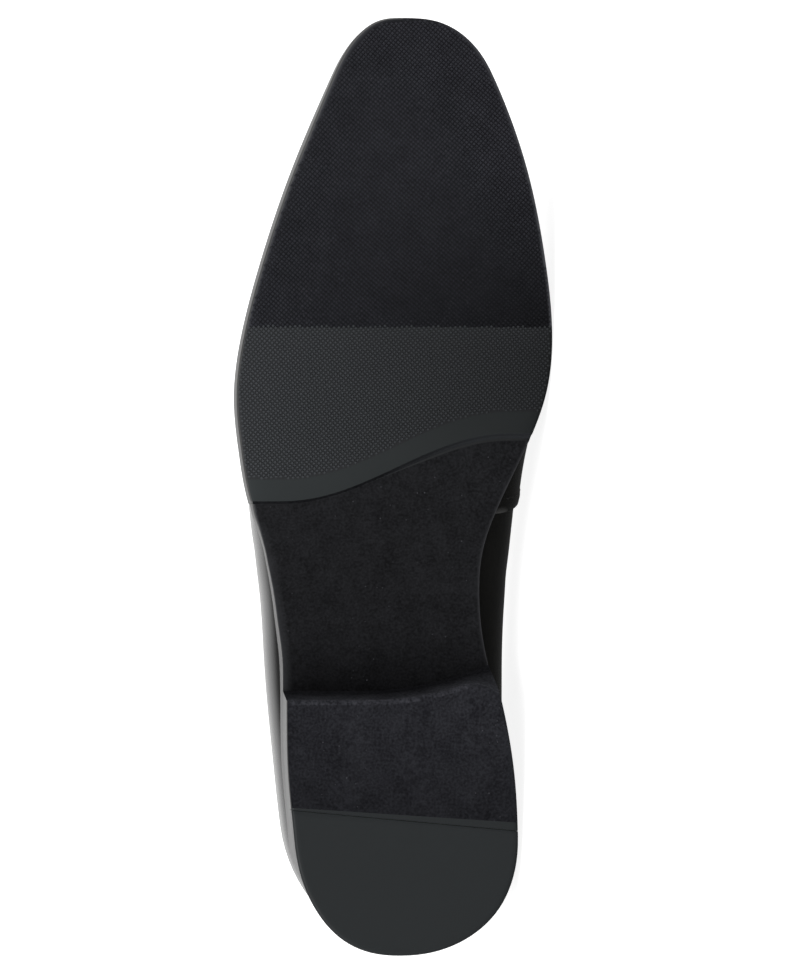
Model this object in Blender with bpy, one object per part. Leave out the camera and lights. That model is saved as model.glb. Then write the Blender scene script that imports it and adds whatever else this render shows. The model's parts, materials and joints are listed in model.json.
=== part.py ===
"""A right slip-on dress shoe in patent leather, lying on its inner side.

The shoe is worked out as it would stand: x runs from the back of the heel to the toe, y from the
middle line to the inner side of the foot, z up from the ground. Sizes are in millimetres until a
mesh is made. One empty then lays the whole shoe down on its inner side, on sole edge and upper.
"""

import math
from collections import namedtuple

import bmesh
import bpy
import numpy as np
from mathutils import Matrix, Vector

MM = 0.001
GAP = 0.3
OUTER, INNER = -1, 1

# Outsole
SOLE_LENGTH = 300.0
SOLE_THICK = 6.0
TOE_SPRING = 12.0
FLAT_BACK, FLAT_FRONT = 168.0, 206.0
SEAT_FRONT, SEAT_UNDER = 93.0, 21.0
TREAD_ROUND, WELT_ROUND = 1.2, 0.6
PAD_STEP = 1.2
STEP_MIDDLE, STEP_SWING, STEP_HALF, STEP_SHIFT = 155.6, 10.8, 36.0, 3.0
STEP_FADE, STEP_RUN = 26.0, 0.9
SPRING_POWER = 1.7
OUTSOLE_ACROSS = [-1, -0.8, -0.55, -0.28, 0, 0.28, 0.55, 0.8, 1]

# Rounding of the toe and of the back, as shares of the length and superellipse powers
BACK_SHARE, BACK_POWER = 0.127, 2.25
TOE_SHARE, TOE_POWER = 0.933, 3.05
BALL_SHARE = 0.6

# Heel
HEEL_TAPER, HEEL_ROUND = 0.7, 0.9
BREAST_BACK, BREAST_SWEEP, BREAST_FROM, BREAST_SPAN = 84.2, 7.2, -8.0, 34.0
BREAST_LEAN, BREAST_POWER = 2.0, 1.7
CORNER_FROM, CORNER_SPAN, CORNER_CUT = 18.0, 12.0, 7.0
FLOCK_RECESS = 0.3
TIP_THICK = 6.0
TIP_LINE, TIP_SLANT = 43.7, -0.097
CUTTER_WIDTH, CUTTER_BACK, CUTTER_UNDER = 200.0, -50.0, -20.0

# Upper, strap and insole
UPPER_WALL = 1.8
LAST_BACK, LAST_TIP = 1.0, 297.6
LASTING_MARGIN = 5.0
ROUNDNESS = 2.1
WIDEST, RIDGE = 1.0, 2.0
THROAT_BACK, THROAT_FRONT, MOUTH_SHARE = 0.4, 0.48, 0.055
AXIS_BACK, AXIS_BACK_FROM = 50.0, 100.0
AXIS_TOE, AXIS_TOE_FROM = 266.0, 200.0
STRAP_THICK = 1.0
STRAP_BACK_LOW, STRAP_BACK_HIGH = 141.5, 152.0
STRAP_FRONT_LOW, STRAP_FRONT_HIGH = 181.0, 172.0
STRAP_FOOT = 0.3
INSOLE_THICK, INSOLE_ROOM = 3.0, 1.0
INSOLE_LOW_ROUND, INSOLE_HIGH_ROUND = 0.3, 0.8
INSOLE_ACROSS = [-1, -0.6, 0, 0.6, 1]

# Sections in each stretch of a piece
UPPER_STEPS = {"back": 6, "quarter": 10, "mouth": 5, "instep": 7, "vamp": 9, "toe": 6, "low": 5, "high": 9}
STRAP_STEPS = {"low": 3, "high": 10, "wide": 6}
OUTSOLE_STEPS = {"back": 8, "waist": 19, "ball": 7, "tread": 10, "toe": 8}
INSOLE_STEPS = {"back": 6, "side": 29, "toe": 6}
HEEL_STEPS = {"back": 8, "side": 4, "breast": 15}

# Fineness of the work: halvings of a search, merging of points, sharp edges and rolls to the resting side
HALVINGS = 40
MERGE = 0.002
SHARP_ANGLE = math.radians(40)
LEAST_FACING = 1e-6
MOST_ROLLS = 500

# Weight of each material, which decides how the shoe lies
RUBBER_DENSITY, LEATHER_DENSITY = 1200.0, 900.0

# Half widths of the sole's edge on each side of the middle line
SoleRow = namedtuple("SoleRow", "along outer inner")
SOLE_ROWS = [
    SoleRow(0, 34.8, 35.6),
    SoleRow(38, 35.8, 36.4),
    SoleRow(62, 37.6, 34.8),
    SoleRow(84, 37.9, 30.6),
    SoleRow(101, 38.6, 26.8),
    SoleRow(116, 40.6, 25.2),
    SoleRow(130, 44.3, 25.9),
    SoleRow(145, 49.9, 30.8),
    SoleRow(160, 53.0, 37.4),
    SoleRow(178, 54.7, 44.4),
    SoleRow(195, 52.9, 46.7),
    SoleRow(222, 46.0, 44.6),
    SoleRow(250, 36.4, 39.4),
    SoleRow(280, 23.5, 29.3),
    SoleRow(300, 14.3, 20.1),
]

# Sections of the last: half widths at the widest, how high that is, the ridge and its lean
# to the inner side, and how far in from the sole's edge the upper meets the sole
LastRow = namedtuple("LastRow", "along outer inner swell ridge lean margin")
LAST_ROWS = [
    LastRow(0, 30.0, 34.0, 17.0, 140.0, 0.5, 4.0),
    LastRow(38, 36.7, 35.6, 17.0, 130.0, 0.5, 4.0),
    LastRow(62, 39.4, 35.2, 18.0, 117.0, 0.5, 3.6),
    LastRow(88, 41.8, 35.5, 20.0, 106.0, 0.0, 3.0),
    LastRow(114, 43.7, 36.1, 21.0, 100.0, -0.5, 3.0),
    LastRow(139, 47.5, 37.2, 19.0, 94.0, 0.0, 4.0),
    LastRow(160, 49.8, 39.0, 17.0, 83.5, 1.0, 5.6),
    LastRow(178, 51.3, 42.4, 15.0, 74.0, 1.5, 6.5),
    LastRow(195, 49.9, 44.0, 14.0, 65.5, 2.0, 7.0),
    LastRow(222, 43.7, 42.5, 13.0, 54.0, 2.8, 7.0),
    LastRow(250, 34.1, 37.2, 11.0, 45.0, 3.0, 6.8),
    LastRow(280, 21.2, 27.2, 9.0, 37.5, 3.2, 6.4),
    LastRow(300, 12.4, 19.0, 8.0, 33.0, 3.4, 6.2),
]

# Height of the collar's edge, seen from the side
ToplineRow = namedtuple("ToplineRow", "along height")
TOPLINE_ROWS = [
    ToplineRow(0, 86.5),
    ToplineRow(12, 85.5),
    ToplineRow(30, 80.5),
    ToplineRow(52, 73.5),
    ToplineRow(75, 70.0),
    ToplineRow(98, 71.0),
    ToplineRow(118, 77.0),
    ToplineRow(130, 84.0),
    ToplineRow(140, 96.0),
]


def spline(rows, name):
    """A natural cubic curve through one column of a table, by distance along the shoe."""
    at = np.array([row.along for row in rows], float)
    value = np.array([getattr(row, name) for row in rows], float)
    step = np.diff(at)
    rise = np.diff(value) / step
    bend = np.zeros(len(at))
    system = np.diag(2 * (step[:-1] + step[1:])) + np.diag(step[1:-1], 1) + np.diag(step[1:-1], -1)
    bend[1:-1] = np.linalg.solve(system, 6 * np.diff(rise))

    def curve(along):
        i = int(np.clip(np.searchsorted(at, along) - 1, 0, len(step) - 1))
        t = along - at[i]
        slope = rise[i] - step[i] * (2 * bend[i] + bend[i + 1]) / 6
        return value[i] + t * slope + t**2 * bend[i] / 2 + t**3 * (bend[i + 1] - bend[i]) / (6 * step[i])

    return curve


sole_half = {OUTER: spline(SOLE_ROWS, "outer"), INNER: spline(SOLE_ROWS, "inner")}
last_half = {OUTER: spline(LAST_ROWS, "outer"), INNER: spline(LAST_ROWS, "inner")}
swell = spline(LAST_ROWS, "swell")
ridge = spline(LAST_ROWS, "ridge")
lean = spline(LAST_ROWS, "lean")
margin = spline(LAST_ROWS, "margin")
topline = spline(TOPLINE_ROWS, "height")


def smoothstep(t):
    t = min(max(t, 0.0), 1.0)
    return t * t * (3 - 2 * t)


def end_rounding(share):
    """How much of the half width is left at this share of the length: 1 along the sides, 0 at the tips."""
    toe = max(0.0, (share - TOE_SHARE) / (1 - TOE_SHARE))
    back = max(0.0, (BACK_SHARE - share) / BACK_SHARE)
    at_toe = max(0.0, 1 - toe**TOE_POWER) ** (1 / TOE_POWER)
    at_back = max(0.0, 1 - back**BACK_POWER) ** (1 / BACK_POWER)
    return at_toe * at_back


def end_shares(start, tip, power, count):
    """Shares from the start of a rounded end to its tip, evenly spread round the curve."""
    angles = np.linspace(0, math.pi / 2, count + 1)
    return [start + (tip - start) * math.sin(angle) ** (2 / power) for angle in angles]


def stretch(start, stop, steps):
    """Even steps from a start, which is left out, to a stop."""
    return list(np.linspace(start, stop, steps + 1)[1:])


def tread_line(along):
    """Height of the sole's underside over the ground: toe spring, flat ball, arch and heel seat."""
    spring = max(0.0, (along - FLAT_FRONT) / (SOLE_LENGTH - FLAT_FRONT))
    arch = smoothstep((FLAT_BACK - along) / (FLAT_BACK - SEAT_FRONT))
    return TOE_SPRING * spring**SPRING_POWER + SEAT_UNDER * arch


def feather(along):
    """Height at which the upper meets the sole."""
    return tread_line(along) + SOLE_THICK + GAP


def sole_point(share, side, inset=0.0):
    along = inset + (SOLE_LENGTH - 2 * inset) * share
    return np.array([along, side * (sole_half[side](SOLE_LENGTH * share) - inset) * end_rounding(share)])


def seat_point(share, side, room=0.0):
    """Where the upper turns under on the sole, or this much farther in."""
    along = SOLE_LENGTH * share
    inset = margin(along) + room
    half = (sole_half[side](along) - inset) * end_rounding(share)
    return np.array([inset + (SOLE_LENGTH - 2 * inset) * share, side * half])


def wide_point(share, side):
    """The last at its widest, seen from above."""
    half = last_half[side](SOLE_LENGTH * share) * end_rounding(share)
    return np.array([LAST_BACK + (LAST_TIP - LAST_BACK) * share, side * half])


def axis_point(share):
    """The point of the ridge that a section leads to: the sections fan out round the toe and the back."""
    along = LAST_BACK + (LAST_TIP - LAST_BACK) * share
    for start, stop, end in ((AXIS_TOE_FROM, AXIS_TOE, LAST_TIP), (AXIS_BACK_FROM, AXIS_BACK, LAST_BACK)):
        past = (along - start) / (end - start)
        if past > 0:
            along = start + (stop - start) * (1 - (1 - past) ** ((end - start) / (stop - start)))
    return np.array([along, lean(along)])


def last_point(share, side, level):
    """A point of the last: level 0 is on the sole, 1 at the widest and 2 on the ridge."""
    seat = seat_point(share, side)
    wide = wide_point(share, side)
    rise = swell(SOLE_LENGTH * share)
    if level <= WIDEST:
        angle = level * math.pi / 2
        plan = seat + (wide - seat) * math.sin(angle)
        return np.array([*plan, feather(seat[0]) + rise * (1 - math.cos(angle))])
    angle = (level - WIDEST) * math.pi / 2
    axis = axis_point(share)
    plan = axis + (wide - axis) * max(0.0, math.cos(angle)) ** (2 / ROUNDNESS)
    low = feather(seat[0]) + rise
    return np.array([*plan, low + (ridge(plan[0]) - low) * math.sin(angle) ** (2 / ROUNDNESS)])


def collar_level(share, side, throat):
    """The level at which this section is cut by the collar's edge, or the ridge in front of the throat."""
    low, high = WIDEST, RIDGE
    if share >= throat:
        return high
    for _ in range(HALVINGS):
        middle = (low + high) / 2
        point = last_point(share, side, middle)
        if point[2] < topline(point[0]):
            low = middle
        else:
            high = middle
    return low


def throat_share():
    """Where the collar's edge crosses the ridge."""
    low, high = THROAT_BACK, THROAT_FRONT
    for _ in range(HALVINGS):
        middle = (low + high) / 2
        along = axis_point(middle)[0]
        if ridge(along) > topline(along):
            low = middle
        else:
            high = middle
    return high


def skin(bm, rows, closed):
    """Quads between each row of points and the next. Closed rows join their ends."""
    verts = [[bm.verts.new(Vector(point) * MM) for point in row] for row in rows]
    for near, far in zip(verts, verts[1:]):
        for i in range(len(near) if closed else len(near) - 1):
            j = (i + 1) % len(near)
            bm.faces.new((near[i], near[j], far[j], far[i]))
    return verts


def face_out(bm):
    """Turns an open surface so that its faces look away from its middle."""
    bm.normal_update()
    middle = sum((vert.co for vert in bm.verts), Vector()) / len(bm.verts)
    outward = 0.0
    for face in bm.faces:
        outward += (face.calc_center_median() - middle).dot(face.normal) * face.calc_area()
    if outward < 0:
        bmesh.ops.reverse_faces(bm, faces=bm.faces)
        bm.normal_update()


def finish_object(name, bm, material, parent):
    mesh = bpy.data.meshes.new(name)
    bm.to_mesh(mesh)
    bm.free()
    mesh.shade_smooth()
    mesh.set_sharp_from_angle(angle=SHARP_ANGLE)
    mesh.materials.append(material)
    obj = bpy.data.objects.new(name, mesh)
    bpy.context.scene.collection.objects.link(obj)
    obj.parent = parent
    return obj


def new_material(name, colour, roughness, coat=0.0):
    material = bpy.data.materials.new(name)
    material.use_nodes = True
    shader = material.node_tree.nodes["Principled BSDF"]
    shader.inputs["Base Color"].default_value = (*colour, 1.0)
    shader.inputs["Roughness"].default_value = roughness
    shader.inputs["Coat Weight"].default_value = coat
    return material


def upper_shares(throat):
    """The sections of the upper, closer together where the mouth runs out in the throat."""
    back = end_shares(BACK_SHARE, 0.0, BACK_POWER, UPPER_STEPS["back"])[::-1]
    quarter = stretch(BACK_SHARE, throat - MOUTH_SHARE, UPPER_STEPS["quarter"])
    mouth = [throat - MOUTH_SHARE * (1 - t) ** 2 for t in stretch(0, 1, UPPER_STEPS["mouth"])]
    instep = stretch(throat, BALL_SHARE, UPPER_STEPS["instep"])
    vamp = stretch(BALL_SHARE, TOE_SHARE, UPPER_STEPS["vamp"])
    toe = end_shares(TOE_SHARE, 1.0, TOE_POWER, UPPER_STEPS["toe"])[1:]
    return back + quarter + mouth + instep + vamp + toe


def make_upper(material, parent):
    """The lasted wall: turned under on the sole, up over the widest and on to collar or ridge."""
    throat = throat_share()
    shares = upper_shares(throat)
    loop = [(share, OUTER) for share in shares] + [(share, INNER) for share in shares[-2:0:-1]]
    tops = [collar_level(share, side, throat) for share, side in loop]
    turned = []
    for share, side in loop:
        seat = last_point(share, side, 0)
        inward = np.array([*axis_point(share), seat[2]]) - seat
        point = seat + inward * LASTING_MARGIN / np.linalg.norm(inward)
        turned.append([point[0], point[1], feather(point[0])])
    rows = [turned]
    for level in np.linspace(0, WIDEST, UPPER_STEPS["low"] + 1):
        rows.append([last_point(share, side, level) for share, side in loop])
    for t in stretch(0, 1, UPPER_STEPS["high"]):
        levels = [WIDEST + t * (top - WIDEST) for top in tops]
        rows.append([last_point(share, side, level) for (share, side), level in zip(loop, levels)])
    bm = bmesh.new()
    skin(bm, rows, closed=True)
    bmesh.ops.remove_doubles(bm, verts=bm.verts, dist=MERGE * MM)
    face_out(bm)
    obj = finish_object("upper", bm, material, parent)
    wall = obj.modifiers.new("wall", "SOLIDIFY")
    wall.thickness = UPPER_WALL * MM
    wall.offset = -1
    wall.use_even_offset = True
    return obj


def make_strap(material, parent):
    """A band over the vamp, standing off the upper's own surface."""
    levels = [STRAP_FOOT] + stretch(STRAP_FOOT, WIDEST, STRAP_STEPS["low"])
    levels += stretch(WIDEST, RIDGE, STRAP_STEPS["high"])
    around = [(OUTER, level) for level in levels] + [(INNER, level) for level in levels[-2::-1]]
    rows = []
    for side, level in around:
        high = smoothstep(level / RIDGE)
        back = STRAP_BACK_LOW + (STRAP_BACK_HIGH - STRAP_BACK_LOW) * high
        front = STRAP_FRONT_LOW + (STRAP_FRONT_HIGH - STRAP_FRONT_LOW) * high
        alongs = np.linspace(back, front, STRAP_STEPS["wide"] + 1)
        rows.append([last_point(along / SOLE_LENGTH, side, level) for along in alongs])
    bm = bmesh.new()
    skin(bm, rows, closed=False)
    face_out(bm)
    moves = [vert.normal * GAP * MM for vert in bm.verts]
    for vert, move in zip(bm.verts, moves):
        vert.co += move
    obj = finish_object("strap", bm, material, parent)
    wall = obj.modifiers.new("thickness", "SOLIDIFY")
    wall.thickness = STRAP_THICK * MM
    wall.offset = 1
    wall.use_even_offset = True
    return obj


def fillet(depth, radius):
    """How much a rounded end loses at this depth in from its tip."""
    if depth >= radius:
        return 0.0
    return radius - math.sqrt(radius**2 - (radius - depth) ** 2)


def plate_ring(along, halves, across, under, top, rounds, bend):
    """One section through a sole: along its top, down its inner edge, back along the tread and up."""
    low_round, high_round = rounds
    ring = []

    def add(q, inset, height):
        reach = max(halves[INNER if q > 0 else OUTER] - inset, 0.0) * q
        at = along + bend(reach)
        ring.append([at, reach, height(at)])

    for q in across:
        add(q, high_round, top)
    add(1, 0.0, lambda at: top(at) - high_round)
    add(1, 0.0, lambda at: under(at) + low_round)
    for q in reversed(across):
        add(q, low_round, under)
    add(-1, 0.0, lambda at: under(at) + low_round)
    add(-1, 0.0, lambda at: top(at) - high_round)
    return ring


def close_plate(name, rings, material, parent):
    bm = bmesh.new()
    verts = skin(bm, rings, closed=True)
    bm.faces.new(verts[0])
    bm.faces.new(verts[-1])
    bmesh.ops.recalc_face_normals(bm, faces=bm.faces)
    return finish_object(name, bm, material, parent)


def pad_edge(across):
    """The S-curve at the back of the forefoot, measured from its middle."""
    turn = min(max((across + STEP_SHIFT) / STEP_HALF, -1.0), 1.0)
    return STEP_SWING * math.sin(turn * math.pi / 2)


def outsole_ring(share):
    """A section through the outsole, bent with the S-curve near the end of the thick forefoot."""
    along = share * SOLE_LENGTH
    fade = 1 - smoothstep(abs(along - STEP_MIDDLE) / STEP_FADE)
    lift = PAD_STEP if along < STEP_MIDDLE else 0.0
    depth = min(along, SOLE_LENGTH - along)
    halves = {}
    for side in (OUTER, INNER):
        bent = share + fade * pad_edge(sole_point(share, side)[1]) / SOLE_LENGTH
        halves[side] = abs(sole_point(bent, side)[1])

    def under(at):
        return tread_line(at) + lift + fillet(depth, TREAD_ROUND)

    def top(at):
        return tread_line(at) + SOLE_THICK - fillet(depth, WELT_ROUND)

    def bend(reach):
        return fade * pad_edge(reach)

    return plate_ring(along, halves, OUTSOLE_ACROSS, under, top, (TREAD_ROUND, WELT_ROUND), bend)


def make_outsole(material, parent):
    """The long sole, with two sections close together where the thick forefoot ends in a step."""
    step_back = (STEP_MIDDLE - STEP_RUN / 2) / SOLE_LENGTH
    step_front = (STEP_MIDDLE + STEP_RUN / 2) / SOLE_LENGTH
    shares = end_shares(BACK_SHARE, 0.0, BACK_POWER, OUTSOLE_STEPS["back"])[-2::-1]
    shares += stretch(BACK_SHARE, step_back, OUTSOLE_STEPS["waist"])
    shares += [step_front] + stretch(step_front, BALL_SHARE, OUTSOLE_STEPS["ball"])
    shares += stretch(BALL_SHARE, TOE_SHARE, OUTSOLE_STEPS["tread"])
    shares += end_shares(TOE_SHARE, 1.0, TOE_POWER, OUTSOLE_STEPS["toe"])[1:-1]
    return close_plate("outsole", [outsole_ring(share) for share in shares], material, parent)


def insole_ring(share):
    """A section through the insole, which lies on the upper's turned edge."""
    along = seat_point(share, OUTER, INSOLE_ROOM)[0]
    halves = {side: abs(seat_point(share, side, INSOLE_ROOM)[1]) for side in (OUTER, INNER)}

    def under(at):
        return feather(at) + UPPER_WALL + GAP

    def top(at):
        return under(at) + INSOLE_THICK

    rounds = (INSOLE_LOW_ROUND, INSOLE_HIGH_ROUND)
    return plate_ring(along, halves, INSOLE_ACROSS, under, top, rounds, lambda reach: 0.0)


def make_insole(material, parent):
    shares = end_shares(BACK_SHARE, 0.0, BACK_POWER, INSOLE_STEPS["back"])[-2::-1]
    shares += stretch(BACK_SHARE, TOE_SHARE, INSOLE_STEPS["side"])
    shares += end_shares(TOE_SHARE, 1.0, TOE_POWER, INSOLE_STEPS["toe"])[1:-1]
    return close_plate("insole", [insole_ring(share) for share in shares], material, parent)


def breast_line(across, low):
    """Front of the heel seen from below; low is 1 on the ground and 0 under the sole."""
    sweep = max(0.0, (across - BREAST_FROM) / BREAST_SPAN) ** BREAST_POWER
    corner = max(0.0, (across - CORNER_FROM) / CORNER_SPAN) ** 2
    return BREAST_BACK + BREAST_SWEEP * sweep - low * (BREAST_LEAN + CORNER_CUT * corner)


def heel_ring(height, inset, low):
    """The heel's outline at one height: round the back from the outer side, then along the breast."""
    corners = {}
    for side in (OUTER, INNER):
        share = BREAST_BACK / SOLE_LENGTH
        for _ in range(HALVINGS):
            share = breast_line(sole_point(share, side, inset)[1], low) / SOLE_LENGTH
        corners[side] = share
    turn = end_shares(BACK_SHARE, 0.0, BACK_POWER, HEEL_STEPS["back"])
    ring = []
    for side in (OUTER, INNER):
        shares = [corners[side]] + stretch(corners[side], BACK_SHARE, HEEL_STEPS["side"])[:-1] + turn
        if side == INNER:
            shares = shares[-2::-1]
        ring += [[*sole_point(share, side, inset), height] for share in shares]
    first, last = ring[0][1], ring[-1][1]
    for across in stretch(last, first, HEEL_STEPS["breast"])[:-1]:
        ring.append([breast_line(across, low), across, height])
    return ring


def heel_block(base):
    """The whole heel over a base height, rounded where it meets the ground."""
    bend = HEEL_ROUND * (1 - math.sqrt(0.5))
    rings = [
        heel_ring(base, HEEL_TAPER + HEEL_ROUND, 1.0),
        heel_ring(base + bend, HEEL_TAPER + bend, 1.0),
        heel_ring(base + HEEL_ROUND, HEEL_TAPER, 1.0),
        heel_ring(SEAT_UNDER + PAD_STEP - GAP, 0.0, 0.0),
    ]
    bm = bmesh.new()
    verts = skin(bm, rings, closed=True)
    bm.faces.new(verts[0])
    bm.faces.new(verts[-1])
    bmesh.ops.recalc_face_normals(bm, faces=bm.faces)
    return bm


def tip_cutter(name, line, height, parent):
    """A block behind the slanting line, up to a height over the ground, for cutting heel and tip."""
    bm = bmesh.new()
    bmesh.ops.create_cube(bm, size=1.0)
    for vert in bm.verts:
        across = vert.co.y * CUTTER_WIDTH
        along = line + TIP_SLANT * across if vert.co.x > 0 else CUTTER_BACK
        up = height if vert.co.z > 0 else CUTTER_UNDER
        vert.co = Vector((along, across, up)) * MM
    bmesh.ops.recalc_face_normals(bm, faces=bm.faces)
    mesh = bpy.data.meshes.new(name)
    bm.to_mesh(mesh)
    bm.free()
    cutter = bpy.data.objects.new(name, mesh)
    bpy.context.scene.collection.objects.link(cutter)
    cutter.parent = parent
    cutter.hide_render = True
    cutter.display_type = "WIRE"
    return cutter


def cut(obj, cutter, operation):
    boolean = obj.modifiers.new(operation.lower(), "BOOLEAN")
    boolean.operation = operation
    boolean.solver = "EXACT"
    boolean.object = cutter


def make_heel(block_material, tip_material, parent):
    heel = finish_object("heel", heel_block(FLOCK_RECESS), block_material, parent)
    tip = finish_object("heel_tip", heel_block(0.0), tip_material, parent)
    cut(heel, tip_cutter("tip_space", TIP_LINE, TIP_THICK + GAP, parent), "DIFFERENCE")
    cut(tip, tip_cutter("tip_body", TIP_LINE - GAP, TIP_THICK, parent), "INTERSECT")
    return heel, tip


def solid_points(obj, graph):
    """The corners of the finished solid's triangles, three to a row."""
    evaluated = obj.evaluated_get(graph)
    mesh = evaluated.to_mesh()
    mesh.calc_loop_triangles()
    points = np.array([mesh.vertices[i].co for tri in mesh.loop_triangles for i in tri.vertices])
    evaluated.to_mesh_clear()
    return points.reshape(-1, 3, 3)


def balance_point(solids):
    """Centre of mass of (triangles, density) pairs."""
    total, moment = 0.0, np.zeros(3)
    for corners, density in solids:
        volumes = np.linalg.det(corners) / 6 * density
        total += volumes.sum()
        moment += (corners.sum(axis=1) / 4 * volumes[:, None]).sum(axis=0)
    return Vector(moment / total)


def resting_side(points, balance, toward):
    """The outward normal of the hull's side on which the shoe lies steady, rolling from a first side."""
    hull = bmesh.new()
    for point in points:
        hull.verts.new(point)
    bmesh.ops.convex_hull(hull, input=hull.verts)
    bmesh.ops.recalc_face_normals(hull, faces=hull.faces)
    ahead = [face for face in hull.faces if face.normal.dot(toward) > LEAST_FACING]
    face = min(ahead, key=lambda f: (f.verts[0].co - balance).dot(f.normal) / f.normal.dot(toward))
    for _ in range(MOST_ROLLS):
        foot = balance + face.normal * (face.verts[0].co - balance).dot(face.normal)
        past = {}
        for loop in face.loops:
            side = loop.link_loop_next.vert.co - loop.vert.co
            past[loop] = (foot - loop.vert.co).dot(side.cross(face.normal)) / side.length
        edge = max(past, key=past.get)
        if past[edge] <= 0:
            break
        face = edge.link_loop_radial_next.face
    normal = face.normal.copy()
    hull.free()
    return normal


def lay_down(parent, solids):
    """Turns the shoe onto its resting side, toe towards +x and sole towards -y, over the origin."""
    points = np.unique(np.concatenate([corners.reshape(-1, 3) for corners, _ in solids]).round(6), axis=0)
    down = resting_side(points, balance_point(solids), Vector((0, 1, 0)))
    ahead = Vector((1, 0, 0))
    ahead = (ahead - down * ahead.dot(down)).normalized()
    turn = Matrix((ahead, (-down).cross(ahead), -down))
    placed = points @ np.array(turn).T
    low, high = placed.min(axis=0), placed.max(axis=0)
    place = Vector((-(low[0] + high[0]) / 2, -(low[1] + high[1]) / 2, -low[2]))
    parent.matrix_world = Matrix.Translation(place) @ turn.to_4x4()


def main():
    for obj in list(bpy.data.objects):
        bpy.data.objects.remove(obj)
    patent = new_material("patent", colour=(0.006, 0.006, 0.006), roughness=0.12, coat=1.0)
    rubber = new_material("rubber", colour=(0.03, 0.033, 0.035), roughness=0.75)
    tip_rubber = new_material("tip_rubber", colour=(0.026, 0.029, 0.031), roughness=0.6)
    sock = new_material("sock", colour=(0.012, 0.012, 0.012), roughness=0.7)
    lying = bpy.data.objects.new("lying", None)
    bpy.context.scene.collection.objects.link(lying)
    heel, tip = make_heel(rubber, tip_rubber, lying)
    densities = {
        make_upper(patent, lying): LEATHER_DENSITY,
        make_strap(patent, lying): LEATHER_DENSITY,
        make_insole(sock, lying): LEATHER_DENSITY,
        make_outsole(rubber, lying): RUBBER_DENSITY,
        heel: RUBBER_DENSITY,
        tip: RUBBER_DENSITY,
    }
    bpy.context.view_layer.update()
    graph = bpy.context.evaluated_depsgraph_get()
    lay_down(lying, [(solid_points(obj, graph), density) for obj, density in densities.items()])


main()
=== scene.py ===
"""The finished looks of a right patent loafer that lies on its inner side.

Shapes are worked out as the shoe would stand, in millimetres: x runs from the back of the heel to the
toe, y from the middle line to the inner side of the foot, z up from the ground. Each piece is then laid
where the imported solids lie.
"""

import json
import math
from collections import namedtuple

import bmesh
import bpy
import numpy as np
from mathutils import Matrix, Vector


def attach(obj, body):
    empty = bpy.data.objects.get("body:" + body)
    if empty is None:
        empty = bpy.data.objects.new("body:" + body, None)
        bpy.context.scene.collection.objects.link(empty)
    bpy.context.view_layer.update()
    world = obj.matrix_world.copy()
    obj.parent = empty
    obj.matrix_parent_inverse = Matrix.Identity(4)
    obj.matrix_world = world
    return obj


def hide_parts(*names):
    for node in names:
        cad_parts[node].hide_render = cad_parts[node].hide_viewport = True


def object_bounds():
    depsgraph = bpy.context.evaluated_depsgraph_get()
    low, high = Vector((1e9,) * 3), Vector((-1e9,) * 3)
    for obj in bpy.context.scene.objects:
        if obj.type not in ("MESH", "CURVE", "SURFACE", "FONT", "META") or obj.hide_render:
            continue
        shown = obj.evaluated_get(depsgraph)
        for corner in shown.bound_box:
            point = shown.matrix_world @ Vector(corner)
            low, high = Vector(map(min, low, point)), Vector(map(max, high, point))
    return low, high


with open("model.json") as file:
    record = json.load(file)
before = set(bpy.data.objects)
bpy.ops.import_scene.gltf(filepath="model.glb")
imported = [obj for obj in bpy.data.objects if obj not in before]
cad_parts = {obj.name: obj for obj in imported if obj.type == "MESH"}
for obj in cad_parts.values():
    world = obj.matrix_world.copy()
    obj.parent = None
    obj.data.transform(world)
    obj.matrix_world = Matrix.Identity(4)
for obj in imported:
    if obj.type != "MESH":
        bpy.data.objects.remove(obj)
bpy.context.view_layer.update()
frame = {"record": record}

MM = 0.001
GAP = 0.3
OUTER, INNER = -1, 1

# Outsole
SOLE_LENGTH = 300.0
SOLE_THICK = 6.0
TOE_SPRING, SPRING_POWER = 12.0, 1.7
FLAT_BACK, FLAT_FRONT = 168.0, 206.0
SEAT_FRONT, SEAT_UNDER = 93.0, 21.0
TREAD_ROUND, WELT_ROUND, WALL_FLARE, FLARE_REACH = 1.3, 0.6, 0.6, [262.0, 298.0]
PAD_STEP, STEP_RUN = 1.2, 0.9
STEP_MIDDLE, STEP_SWING, STEP_HALF, STEP_SHIFT = 155.6, 10.8, 36.0, 3.0
STEP_FULL, STEP_FADE = 9.0, 26.0
STEP_RIM, RIM_OUTER, RIM_INNER, RIM_FROM, RIM_SPAN = 1.7, 0.55, 1.9, -14.0, 26.0
STEP_FOOT, STEP_SHADE, STEP_REACH, BORDER_WIDE = 0.45, 1.1, 4.0, 7.4
STEP_BEHIND, STEP_AHEAD = -2.8, [0.7, 1.2, 2.4, 5.0]
FLOCK_FRONT = 200.9
EDGE_OUTER, EDGE_INNER = 0.5, 0.0
WAIST_SLIM, SLIM_SPAN = 0.32, 14.0
WAIST_FULL, FULL_REACH = 0.85, [90.0, 110.0, 118.0, 152.0]
WAIST_WELT, WELT_REACH = 0.5, [30.0, 60.0, 92.0, 128.0]
SEAT_TUCK, TUCK_BACK, TUCK_FRONT, TUCK_SPAN = 1.5, 14.0, 31.0, 10.0
BACK_LEAN, LEAN_SPAN = 1.9, 18.0
SEAT_SLIM, SLIM_FRONT, SEAT_SLIT, WELT_LIFT = 0.12, 96.0, 0.04, 0.25

# Rounding of the toe and of the back, as shares of the length and superellipse powers
BACK_SHARE, BACK_POWER = 0.127, 2.25
TOE_SHARE, TOE_POWER = 0.933, 3.05

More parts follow.
